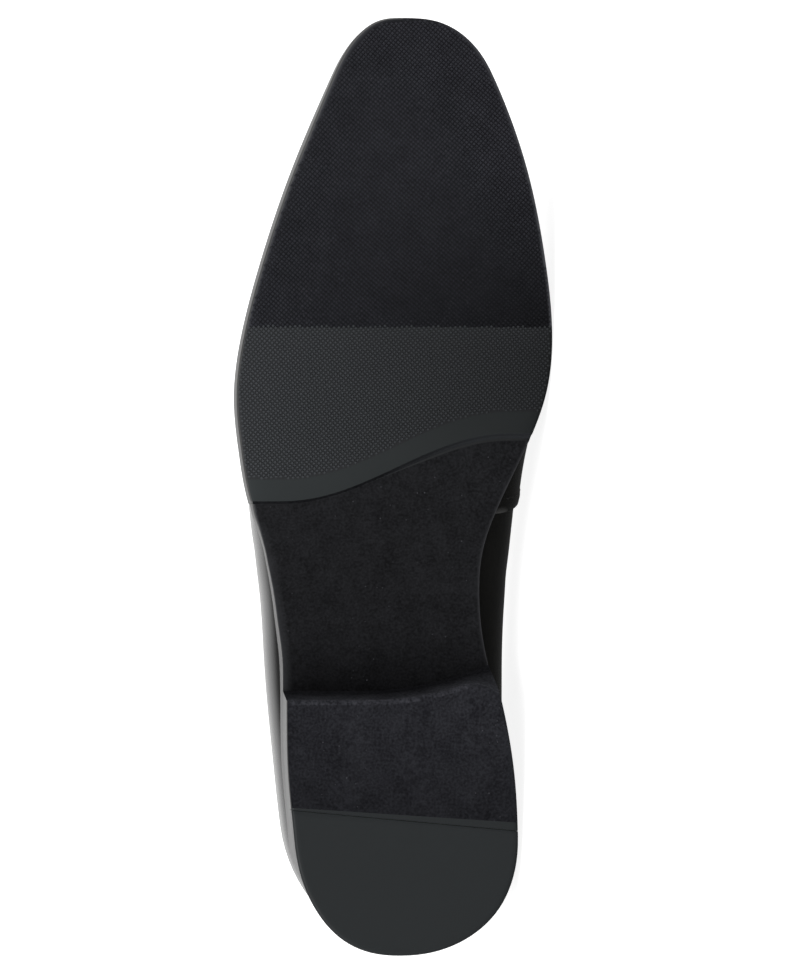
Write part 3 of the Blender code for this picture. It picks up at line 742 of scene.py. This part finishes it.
def make_tread_points(rubber, flock):
    """The fine cross tread: small blunt points in a slanting square lattice over the forefoot."""
    bm = bmesh.new()
    squared = Matrix.Rotation(math.pi / POINT_SIDES, 4, "Z")
    bmesh.ops.create_cone(
        bm,
        cap_ends=True,
        segments=POINT_SIDES,
        radius1=POINT_BASE * math.sqrt(0.5),
        radius2=POINT_TOP * math.sqrt(0.5),
        depth=POINT_HEIGHT,
        matrix=Matrix.Translation((0, 0, POINT_HEIGHT / 2)) @ squared,
    )
    bm.normal_update()
    hidden = [face for face in bm.faces if face.normal.z < -POINT_LEVEL]
    bmesh.ops.delete(bm, geom=hidden, context="FACES")
    for direction in (Vector((POINT_PITCH, 0, 0)), Vector((0, POINT_PITCH, 0))):
        unit_geom = bm.verts[:] + bm.edges[:] + bm.faces[:]
        for count in range(1, 2 * POINT_ROW):
            copy = bmesh.ops.duplicate(bm, geom=unit_geom)["geom"]
            moved = [part for part in copy if isinstance(part, bmesh.types.BMVert)]
            bmesh.ops.translate(bm, verts=moved, vec=direction * count)
    flat = np.array([vert.co for vert in bm.verts])
    middle = np.array([(STEP_MIDDLE + SOLE_LENGTH) / 2, 0.0])
    cosine, sine = math.cos(POINT_TURN), math.sin(POINT_TURN)

    def turned(spots):
        """Lattice places on the sole: the lattice leans from the middle line by its turn."""
        a, b = spots[:, 0] - POINT_ROW * POINT_PITCH, spots[:, 1] - POINT_ROW * POINT_PITCH
        return np.stack([middle[0] - a * sine + b * cosine, middle[1] + a * cosine + b * sine], -1)

    centre = turned(np.rint(flat[:, :2] / POINT_PITCH) * POINT_PITCH)
    spot = turned(flat[:, :2])
    inside = centre[:, 1] > 0
    rim = np.where(inside, POINT_RIM_INNER, POINT_RIM)
    share = np.clip((centre[:, 0] - rim) / (SOLE_LENGTH - 2 * rim), 0, 1)
    edge = np.abs(sole_point(share, np.where(inside, INNER, OUTER), rim)[1])
    on_sole = (np.abs(centre[:, 1]) < edge) & (centre[:, 0] > POINT_BACK + pad_edge(centre[:, 1]))
    bm.verts.index_update()
    for face in bm.faces:
        face.material_index = int(centre[face.verts[0].index, 0] > FLOCK_FRONT)
    heights = tread_line(spot[:, 0]) + POINT_SUNK - flat[:, 2]
    for vert, (along, across), height in zip(bm.verts, spot, heights):
        vert.co = (along, across, height)
    past_edge = [vert for vert in bm.verts if not on_sole[vert.index]]
    bmesh.ops.delete(bm, geom=past_edge, context="VERTS")
    bmesh.ops.reverse_faces(bm, faces=bm.faces)
    make_piece("tread_points", bm, [rubber, flock])


def make_insole(sock):
    """The sock-covered insole, on the upper's turned edge."""
    shares = whole_length(INSOLE_STEPS, stretch(BACK_SHARE, TOE_SHARE, INSOLE_STEPS["side"]))
    wide = np.linspace(-1, 1, INSOLE_ACROSS)
    spots = plate_profile(wide, INSOLE_LOW_ROUND, INSOLE_HIGH_ROUND, INSOLE_EDGE)
    q, inset, top, rise = np.array(spots).T

    def place(column, row):
        side = np.where(q[column] > 0, INNER, OUTER)
        along, across = seat_point(shares[row], side, INSOLE_ROOM + inset[column])
        height = feather(along) + UPPER_WALL + GAP + INSOLE_THICK * top[column] + rise[column]
        return np.stack([along, across * np.abs(q[column]), height], -1)

    bm = mapped_grid(len(spots) - 1, len(shares) - 1, place)
    bmesh.ops.recalc_face_normals(bm, faces=bm.faces)
    make_piece("sock_insole", bm, [sock], "insole")


def breast_line(across, low):
    """Front of the heel seen from below; low is 1 on the ground and 0 under the sole."""
    sweep = np.maximum(0.0, (across - BREAST_FROM) / BREAST_SPAN) ** BREAST_POWER
    corner = np.maximum(0.0, (across - CORNER_FROM) / CORNER_SPAN) ** 2
    return BREAST_BACK + BREAST_SWEEP * sweep - low * (BREAST_LEAN + CORNER_CUT * corner)


def heel_ring(height, inset, low, rounded=0.0):
    """The heel's outline at one height: round the back from the outer side, then along the breast."""
    turn = back_shares(HEEL_STEPS["back"])
    sides = []
    for side, splay in ((OUTER, low * HEEL_SPLAY), (INNER, 0.0)):
        share = BREAST_BACK / SOLE_LENGTH
        for _ in range(HALVINGS):
            across = sole_point(share, side, inset - splay)[1]
            share = (breast_line(across, low) - rounded) / SOLE_LENGTH
        shares = np.concatenate([[share], stretch(share, BACK_SHARE, HEEL_STEPS["side"])[:-1], turn])
        drawn = seat_tuck(shares) * (1 - low) if side == OUTER else 0.0
        tucked = inset - splay * smoothstep(shares * SOLE_LENGTH / SPLAY_SPAN) + drawn
        sides.append(np.stack(sole_point(shares, side, tucked), -1))
    outer, inner = sides[0], sides[1][-2::-1]
    across = stretch(inner[-1, 1], outer[0, 1], HEEL_STEPS["breast"])[:-1]
    breast = np.stack([breast_line(across, low) - rounded, across], -1)
    plan = np.concatenate([outer, inner, breast, outer[:1]])
    plan[:, 1] -= back_lean(plan[:, 0])
    return np.column_stack([plan, np.full(len(plan), height)])


def heel_block(base):
    """The whole heel over a base height, rounded where it meets the ground."""
    rings = []
    for angle in np.linspace(0, math.pi / 2, HEEL_STEPS["edge"]):
        low = HEEL_ROUND * (1 - math.cos(angle))
        rounded = HEEL_ROUND * (1 - math.sin(angle))
        rings.append(heel_ring(base + low, HEEL_TAPER + rounded, 1.0, rounded))
    side_low, side_high = base + HEEL_ROUND, SEAT_UNDER + PAD_STEP - SEAT_SLIT
    for climb in stretch(0, 1, HEEL_STEPS["wall"]):
        height = side_low + (side_high - side_low) * climb
        rings.append(heel_ring(height, HEEL_TAPER * (1 - climb), 1 - climb))
    rings = np.array(rings)

    def place(column, row):
        return rings[row, column]

    bm = mapped_grid(rings.shape[1] - 1, rings.shape[0] - 1, place)
    bmesh.ops.holes_fill(bm, edges=[edge for edge in bm.edges if edge.is_boundary], sides=0)
    bmesh.ops.recalc_face_normals(bm, faces=bm.faces)
    caps = [face for face in bm.faces if len(face.verts) > 4]
    bmesh.ops.inset_individual(bm, faces=caps, thickness=LIP_WIDE, use_even_offset=True)
    return bm


def cut_plane(bm, point, normal, faces):
    """Cuts these faces along a plane."""
    geom = list(dict.fromkeys(part for face in faces for part in (*face.verts, *face.edges, face)))
    bmesh.ops.bisect_plane(bm, geom=geom, dist=MERGE, plane_co=point, plane_no=normal)


def cut_upright(bm, line, slant):
    cut_plane(bm, (line, 0, 0), (1, -slant, 0), bm.faces[:])


def cut_level(bm, height, faces):
    cut_plane(bm, (0, 0, height), (0, 0, 1), faces)


def ahead_of(face, line, slant):
    """How far a face lies in front of a slanting line across the heel."""
    middle = face.calc_center_median()
    return middle.x - line - slant * middle.y


def drop_faces(bm, unwanted):
    gone = [face for face in bm.faces if unwanted(face)]
    bmesh.ops.delete(bm, geom=gone, context="FACES")


def close_corner(bm, height):
    """Closes the corner left by a cut with one level and one upright face."""
    rim = [edge for edge in bm.edges if edge.is_boundary]
    level = [edge for edge in rim if all(abs(vert.co.z - height) < MERGE for vert in edge.verts)]
    upright = [edge for edge in rim if edge not in level]
    level_verts = dict.fromkeys(vert for edge in level for vert in edge.verts)
    ends = [vert for vert in level_verts if any(edge in upright for edge in vert.link_edges)]
    bridge = bmesh.ops.contextual_create(bm, geom=ends)["edges"]
    bmesh.ops.contextual_create(bm, geom=level + bridge)
    bmesh.ops.contextual_create(bm, geom=upright + bridge)
    bmesh.ops.recalc_face_normals(bm, faces=bm.faces)


def make_heel(finishes):
    """The heel block, flocked in front and on its breast, with room for the tip at the back."""
    bm = heel_block(FLOCK_RECESS)
    room = TIP_THICK + TIP_SLIT
    cut_upright(bm, BAND_LINE, BAND_SLANT)
    cut_upright(bm, TIP_LINE, TIP_SLANT)
    cut_level(bm, room, [face for face in bm.faces if ahead_of(face, TIP_LINE, TIP_SLANT) < 0])

    def in_room(face):
        return ahead_of(face, TIP_LINE, TIP_SLANT) < 0 and face.calc_center_median().z < room

    drop_faces(bm, in_room)
    close_corner(bm, room)
    bare, furred, dressed, breast, lip = range(5)
    bm.normal_update()
    for face in bm.faces:
        middle = face.calc_center_median()
        face.material_index = dressed
        front = face.normal.x > LIP_LEAN or breast_line(middle.y, 1.0) - middle.x < HEEL_ROUND + LIP_WIDE
        # The breast's lip gets a lighter, flecked flock: a painted highlight
        if front and middle.z < FLOCK_RECESS + HEEL_ROUND * LIP_SHARE and middle.y < LIP_END:
            face.material_index = lip
        elif face.normal.z < -FLOCK_LEVEL:
            face.material_index = furred if ahead_of(face, BAND_LINE, BAND_SLANT) > 0 else bare
        elif face.normal.x > BREAST_FRONT:
            face.material_index = breast
    make_piece("heel_block", bm, finishes, "heel")


def make_heel_tip(rubber, dressing):
    """The plain rubber tip at the back of the heel."""
    bm = heel_block(0.0)
    line = TIP_LINE - TIP_SLIT
    cut_upright(bm, line, TIP_SLANT)
    cut_level(bm, TIP_THICK, bm.faces[:])

    def past_tip(face):
        return ahead_of(face, line, TIP_SLANT) > 0 or face.calc_center_median().z > TIP_THICK

    drop_faces(bm, past_tip)
    close_corner(bm, TIP_THICK)
    bm.normal_update()
    for face in bm.faces:
        face.material_index = int(abs(face.normal.z) < TIP_LEVEL)
    corners = [edge for edge in bm.edges if edge.is_manifold and edge.calc_face_angle() > CORNER_ANGLE]
    bmesh.ops.bevel(
        bm, geom=corners, offset=TIP_ROUND, affect="EDGES", segments=TIP_STEPS, profile=0.5, material=-1
    )
    make_piece("rubber_tip", bm, [rubber, dressing], "heel_tip")


def add_node(tree, kind, sockets=None, **settings):
    node = tree.nodes.new(kind)
    for name, value in settings.items():
        setattr(node, name, value)
    for name, value in (sockets or {}).items():
        if isinstance(value, bpy.types.NodeSocket):
            tree.links.new(value, node.inputs[name])
        else:
            node.inputs[name].default_value = value
    return node


def combine(tree, how, first, second):
    return add_node(tree, "ShaderNodeMath", {0: first, 1: second}, operation=how).outputs["Value"]


def part_of(tree, vector, axis):
    return add_node(tree, "ShaderNodeSeparateXYZ", {"Vector": vector}).outputs[axis]


def toward(tree, way, axis):
    """How nearly a direction is that of an axis."""
    sockets = {0: way, 1: axis}
    return add_node(tree, "ShaderNodeVectorMath", sockets, operation="DOT_PRODUCT").outputs["Value"]


def new_finish(name, **sockets):
    """A material, with its even values set on the shader and the place that its patterns follow."""
    material = bpy.data.materials.new(name)
    material.use_nodes = True
    tree = material.node_tree
    shader = tree.nodes["Principled BSDF"]
    for socket, value in sockets.items():
        shader.inputs[socket.replace("_", " ")].default_value = value
    return material, tree, shader, add_node(tree, "ShaderNodeTexCoord").outputs["Object"]


def dress(tree, shader, **patterns):
    """Leads patterns to the shader's sockets."""
    for socket, pattern in patterns.items():
        tree.links.new(pattern, shader.inputs[socket.replace("_", " ")])


def cells(tree, place, size):
    """Cells of about this size in millimetres."""
    return add_node(tree, "ShaderNodeTexVoronoi", {"Vector": place, "Scale": 1 / (size * MM)}).outputs


def grain(tree, place, size, detail=2.0):
    """Soft noise with grains of about this size in millimetres."""
    scale = 1 / (size * MM)
    sockets = {"Vector": place, "Scale": scale, "Detail": detail}
    return add_node(tree, "ShaderNodeTexNoise", sockets).outputs["Fac"]


def ramp(tree, value, start, stop, low=0.0, high=1.0):
    """Values from low to high as a pattern goes from start to stop."""
    sockets = {"Value": value, "From Min": start, "From Max": stop, "To Min": low, "To Max": high}
    return add_node(tree, "ShaderNodeMapRange", sockets).outputs["Result"]


def mix_colour(tree, value, low, high):
    node = add_node(tree, "ShaderNodeMix", data_type="RGBA")
    for socket, part in (("Factor_Float", value), ("A_Color", low), ("B_Color", high)):
        target = next(s for s in node.inputs if s.identifier == socket)
        if isinstance(part, bpy.types.NodeSocket):
            tree.links.new(part, target)
        else:
            target.default_value = (*part, 1.0)
    return next(s for s in node.outputs if s.identifier == "Result_Color")


def raise_by(tree, height, depth, strength=1.0, under=None):
    """A bump of this depth in millimetres, over another bump if there is one."""
    sockets = {"Height": height, "Strength": strength, "Distance": depth * MM}
    if under:
        sockets["Normal"] = under
    return add_node(tree, "ShaderNodeBump", sockets).outputs["Normal"]


def patent_finish():
    """Black film with a mirror coat, faintly uneven over the leather."""
    material, tree, shader, place = new_finish(
        "black_patent",
        Roughness=0.3,
        Specular_IOR_Level=0.05,
        Coat_Weight=1.0,
        Coat_Roughness=0.03,
        Coat_IOR=1.48,
    )
    cloud = grain(tree, place, FILM_TONE)
    tone = mix_colour(tree, cloud, (0.0022, 0.0022, 0.002), (0.0045, 0.0045, 0.004))
    waves = raise_by(tree, grain(tree, place, FILM_WAVE, 1.0), depth=0.12, strength=0.5)
    peel = raise_by(tree, grain(tree, place, FILM_PEEL, 1.0), depth=0.012, strength=0.5, under=waves)
    dress(tree, shader, Base_Color=tone, Normal=peel, Coat_Normal=peel)
    return material


def leather_finish(name, dark, light, grain_size, roughness):
    """Plain lining or sock leather with a fine pebbled grain."""
    material, tree, shader, place = new_finish(name, Sheen_Weight=0.08)
    pebbles = cells(tree, place, grain_size)["Distance"]
    dress(
        tree,
        shader,
        Base_Color=mix_colour(tree, grain(tree, place, LEATHER_TONE), dark, light),
        Roughness=ramp(tree, pebbles, 0.0, 0.7, roughness - 0.08, roughness + 0.1),
        Normal=raise_by(tree, pebbles, depth=0.12, strength=0.5),
    )
    return material


def breast_shade(tree, place, colour):
    """Paints shade on a colour, darker from the heel's lip into the corner under the waist."""
    deep = ramp(tree, part_of(tree, place, "Y"), *BREAST_DEPTH, high=BREAST_DARK)
    return mix_colour(tree, deep, colour, BLACK)


def ball_shade(tree, place, colour, dark):
    """Paints shade on a colour towards the inner side of the ball, as light falls from the outer side."""
    inward = ramp(tree, part_of(tree, place, "Z"), *BALL_INWARD, low=dark, high=0.0)
    along = part_of(tree, place, "X")
    before_toe = ramp(tree, along, *BALL_FRONT, low=1.0, high=0.0)
    near = combine(tree, "MULTIPLY", before_toe, ramp(tree, along, *BALL_BACK))
    return mix_colour(tree, combine(tree, "MULTIPLY", inward, near), colour, BLACK)


# The ball's painted shade, deeper, on the toe's flock
def toe_shade(tree, place, colour):
    return ball_shade(tree, place, colour, TOE_DARK)


def step_shade(tree, place, colour):
    """Lets the painted shadow line under the step fade out towards the inner side."""
    inward = ramp(tree, part_of(tree, place, "Z"), *STEP_INWARD, low=1.0, high=0.0)
    return mix_colour(tree, inward, colour, (0.0145, 0.0155, 0.017))


def rim_light(tree, colour, light, inner):
    """Paints a highlight on a colour where the nap turns over an edge, on the inner side by a share."""
    level = part_of(tree, add_node(tree, "ShaderNodeNewGeometry").outputs["Normal"], "Z")
    leaning = combine(tree, "MAXIMUM", level, combine(tree, "MULTIPLY", level, -inner))
    return mix_colour(tree, ramp(tree, leaning, *RIM_LEAN), colour, light)


def fade_along(tree, place, colour, reach, dark):
    """Darkens a colour along the shoe: most at the start of the reach."""
    pressed = ramp(tree, part_of(tree, place, "X"), *reach, low=dark, high=0.0)
    return mix_colour(tree, pressed, colour, BLACK)


# Darker towards the back of the heel's flock
def heel_shade(tree, place, colour):
    return fade_along(tree, place, colour, HEEL_FADE, HEEL_DARK)


# Painted shade on the waist's flock towards the heel's breast, and a painted highlight on its rounded
# rims
def waist_rim(tree, place, colour):
    faded = fade_along(tree, place, colour, WAIST_FADE, WAIST_DARK)
    return rim_light(tree, faded, (0.028, 0.0287, 0.031), WAIST_RIM_INNER)


# Painted shade towards the inner side of the toe, and a painted highlight on its rounded rim
def toe_rim(tree, place, colour):
    return rim_light(tree, toe_shade(tree, place, colour), (0.036, 0.0367, 0.041), TOE_RIM_INNER)


def rubber_finish(name, dark, light, roughness):
    """Moulded rubber: a grey-green bloom, painted shade on the ball's inner side, and a fine matte skin.
    """
    material, tree, shader, place = new_finish(name, Specular_IOR_Level=0.15)
    bloom = mix_colour(tree, grain(tree, place, RUBBER_CLOUD, 3.0), dark, light)
    speck = grain(tree, place, RUBBER_SPECK)
    dress(
        tree,
        shader,
        Base_Color=ball_shade(tree, place, bloom, BALL_DARK),
        Roughness=ramp(tree, speck, 0.3, 0.7, roughness - 0.07, roughness + 0.07),
        Normal=raise_by(tree, speck, depth=0.03, strength=0.35),
    )
    return material


def flock_finish(name, dark, light, sparkle, sheen, shade):
    """Short flock: a dark matte nap, with painted glints of fibres, more of them for a painted sparkle.
    """
    material, tree, shader, place = new_finish(
        name,
        Roughness=1.0,
        Specular_IOR_Level=sheen,
        Sheen_Weight=sheen,
        Sheen_Roughness=0.5,
        Sheen_Tint=(0.7, 0.68, 0.76, 1.0),
    )
    fibres = grain(tree, place, FIBRE_SIZE, 4.0)
    brushed = ramp(tree, grain(tree, place, TUFT_SIZE, 3.0), 0.3, 0.7, low=-0.2, high=0.2)
    tuft = combine(tree, "ADD", ramp(tree, fibres, 0.3, 0.72), brushed)
    nap = mix_colour(tree, tuft, dark, light)
    if shade:
        nap = shade(tree, place, nap)
    # Light flecks: painted glints of fibres, more of them with the sparkle
    flecks = cells(tree, place, FLECK_SIZE)
    near = ramp(tree, flecks["Distance"], 0.05, 0.14, low=1.0, high=0.0)
    chosen = ramp(tree, flecks["Color"], 0.72 - sparkle, 0.9 - sparkle)
    tone = mix_colour(tree, combine(tree, "MULTIPLY", near, chosen), nap, (0.05, 0.05, 0.056))
    dress(tree, shader, Base_Color=tone, Normal=raise_by(tree, fibres, depth=0.3, strength=0.6))
    return material


def edge_finish():
    """Black edge dressing, polished on the sides of sole and heel."""
    material, tree, shader, place = new_finish("dressed_edge", Coat_Weight=0.8, Coat_Roughness=0.3)
    cloud = grain(tree, place, EDGE_TONE)
    brushed = grain(tree, place, EDGE_BRUSH)
    dress(
        tree,
        shader,
        Base_Color=mix_colour(tree, cloud, (0.004, 0.004, 0.004), (0.009, 0.009, 0.009)),
        Roughness=ramp(tree, brushed, 0.3, 0.7, low=0.42, high=0.56),
        Normal=raise_by(tree, brushed, depth=0.03, strength=0.3),
    )
    return material


def thread_finish():
    """Black waxed thread with a fine twist."""
    material, tree, shader, place = new_finish("black_thread", Roughness=0.55, Specular_IOR_Level=0.2)
    twist = grain(tree, place, THREAD_TWIST, 1.0)
    tone = mix_colour(tree, twist, (0.003, 0.003, 0.003), (0.011, 0.011, 0.011))
    dress(tree, shader, Base_Color=tone, Normal=raise_by(tree, twist, depth=0.06, strength=0.6))
    return material


def floor_finish():
    material, tree, shader, place = new_finish(
        "pale_floor",
        Roughness=0.9,
        Specular_IOR_Level=0.1,
        Emission_Strength=FLOOR_GLOW,
        Emission_Color=WHITE,
    )
    cloud = grain(tree, place, FLOOR_TONE)
    dress(tree, shader, Base_Color=mix_colour(tree, cloud, (0.49, 0.49, 0.49), (0.51, 0.51, 0.51)))
    return material


def make_camera():
    ahead = Vector((0, math.sin(CAMERA_TILT), math.cos(CAMERA_TILT)))
    right = Vector((0, math.cos(CAMERA_TILT), -math.sin(CAMERA_TILT)))
    up = Vector((1, 0, 0))
    place = Vector((AIM_ALONG, 0, 0)) - ahead * CAMERA_FAR + right * AIM_RIGHT + up * AIM_UP
    turn = LYING.to_3x3().normalized()
    stand = Matrix((turn @ right, turn @ up, turn @ -ahead)).transposed()
    camera = bpy.data.objects.new("camera", bpy.data.cameras.new("camera"))
    camera.data.lens = CAMERA_LENS
    camera.data.clip_end = CAMERA_CLIP
    camera.matrix_world = Matrix.Translation(LYING @ place) @ stand.to_4x4()
    bpy.context.scene.collection.objects.link(camera)
    bpy.context.scene.camera = camera


def make_floor():
    """A plain pale floor at the lowest point of the shoe, kept out of its gloss as by a black card."""
    bm = bmesh.new()
    bmesh.ops.create_grid(bm, x_segments=FLOOR_PARTS, y_segments=FLOOR_PARTS, size=FLOOR_SIZE / 2)
    bmesh.ops.translate(bm, verts=bm.verts, vec=(0, 0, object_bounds()[0][2]))
    mesh = bpy.data.meshes.new("floor")
    bm.to_mesh(mesh)
    bm.free()
    mesh.materials.append(floor_finish())
    floor = bpy.data.objects.new("floor", mesh)
    bpy.context.scene.collection.objects.link(floor)
    floor.visible_glossy = False


def make_light():
    """A broad soft light on the sole, a room that is dark in front and below, and its soft boxes."""
    sun = bpy.data.objects.new("soft_light", bpy.data.lights.new("soft_light", "SUN"))
    sun.data.energy = SUN_POWER
    sun.data.angle = SUN_WIDE
    sun.rotation_euler = (-Vector(SUN_FROM)).to_track_quat("-Z", "Y").to_euler()
    bpy.context.scene.collection.objects.link(sun)
    world = bpy.data.worlds.new("studio")
    world.use_nodes = True
    tree = world.node_tree
    way = add_node(tree, "ShaderNodeTexCoord").outputs["Generated"]
    white = ramp(tree, toward(tree, way, SKY_AXIS), SKY_FROM, SKY_TO, SKY_DARK, SKY_LIGHT)
    above = ramp(tree, part_of(tree, way, "Z"), -SKY_FOOT, 0.0)
    bright = combine(tree, "MAXIMUM", combine(tree, "MULTIPLY", white, above), SKY_BELOW)
    for box in SOFT_BOXES:
        glow = ramp(tree, toward(tree, way, box.axis), box.start, box.full, high=box.light)
        bright = combine(tree, "ADD", bright, glow)
    sky = tree.nodes["Background"]
    sky.inputs["Color"].default_value = WHITE
    tree.links.new(bright, sky.inputs["Strength"])
    bpy.context.scene.world = world
    bpy.context.scene.view_settings.view_transform = "Standard"


# Dark and light of each rubber, and its roughness
RUBBERS = {
    "border_rubber": ((0.0155, 0.0182, 0.019), (0.0185, 0.0217, 0.0227), 0.52),
    "tread_rubber": ((0.031, 0.0335, 0.0365), (0.036, 0.039, 0.0425), 0.52),
    # The ground between the tread points is darker than the points: partly the rubber's tone, partly
    # painted shade of the valleys
    "tread_ground": ((0.0135, 0.0145, 0.016), (0.0155, 0.0165, 0.018), 0.6),
    "smooth_rubber": ((0.0115, 0.0133, 0.0142), (0.0125, 0.0145, 0.0155), 0.5),
}

# Dark and light of each flock's nap, its painted sparkle, its sheen and its shade, mostly painted light
# and shade
FLOCKS = {
    "waist_flock": ((0.0035, 0.0036, 0.004), (0.0105, 0.0108, 0.012), 0.0, 0.05, waist_rim),
    # The breast's flock, with painted shade into the corner under the waist
    "breast_flock": ((0.012, 0.0122, 0.014), (0.036, 0.037, 0.042), 0.0, 0.0, breast_shade),
    # A painted shadow line under the forefoot's step
    "step_shadow_flock": ((0.0035, 0.0036, 0.004), (0.01, 0.0103, 0.0115), 0.0, 0.0, step_shade),
    "toe_flock": ((0.0055, 0.0057, 0.0069), (0.0105, 0.0108, 0.013), 0.0, 0.05, toe_rim),
    "toe_point_flock": ((0.0125, 0.013, 0.0155), (0.0235, 0.0243, 0.0288), 0.0, 0.05, toe_shade),
    "heel_flock": ((0.0054, 0.0055, 0.0069), (0.0168, 0.0173, 0.0205), 0.0, 0.05, heel_shade),
    # A lighter, flecked flock on the heel's lip: a painted highlight
    "lip_highlight_flock": ((0.0065, 0.0067, 0.0082), (0.027, 0.0275, 0.0325), 0.4, 0.05, None),
}


def main():
    patent = patent_finish()
    lining = leather_finish("lining_leather", (0.03, 0.029, 0.028), (0.046, 0.0445, 0.043), 1.1, 0.6)
    sock = leather_finish("sock_leather", (0.034, 0.033, 0.032), (0.052, 0.0505, 0.049), 0.9, 0.66)
    edge = edge_finish()
    rubber = {name: rubber_finish(name, *row) for name, row in RUBBERS.items()}
    flock = {name: flock_finish(name, *row) for name, row in FLOCKS.items()}
    border, ground, smooth = rubber["border_rubber"], rubber["tread_ground"], rubber["smooth_rubber"]
    make_upper(patent, lining)
    make_strap(patent)
    make_stitches(thread_finish())
    make_insole(sock)
    make_outsole([border, ground, flock["waist_flock"], flock["toe_flock"], edge, flock["step_shadow_flock"]])
    make_tread_points(rubber["tread_rubber"], flock["toe_point_flock"])
    make_heel([smooth, flock["heel_flock"], edge, flock["breast_flock"], flock["lip_highlight_flock"]])
    make_heel_tip(smooth, edge)
    make_camera()
    make_floor()
    make_light()


main()
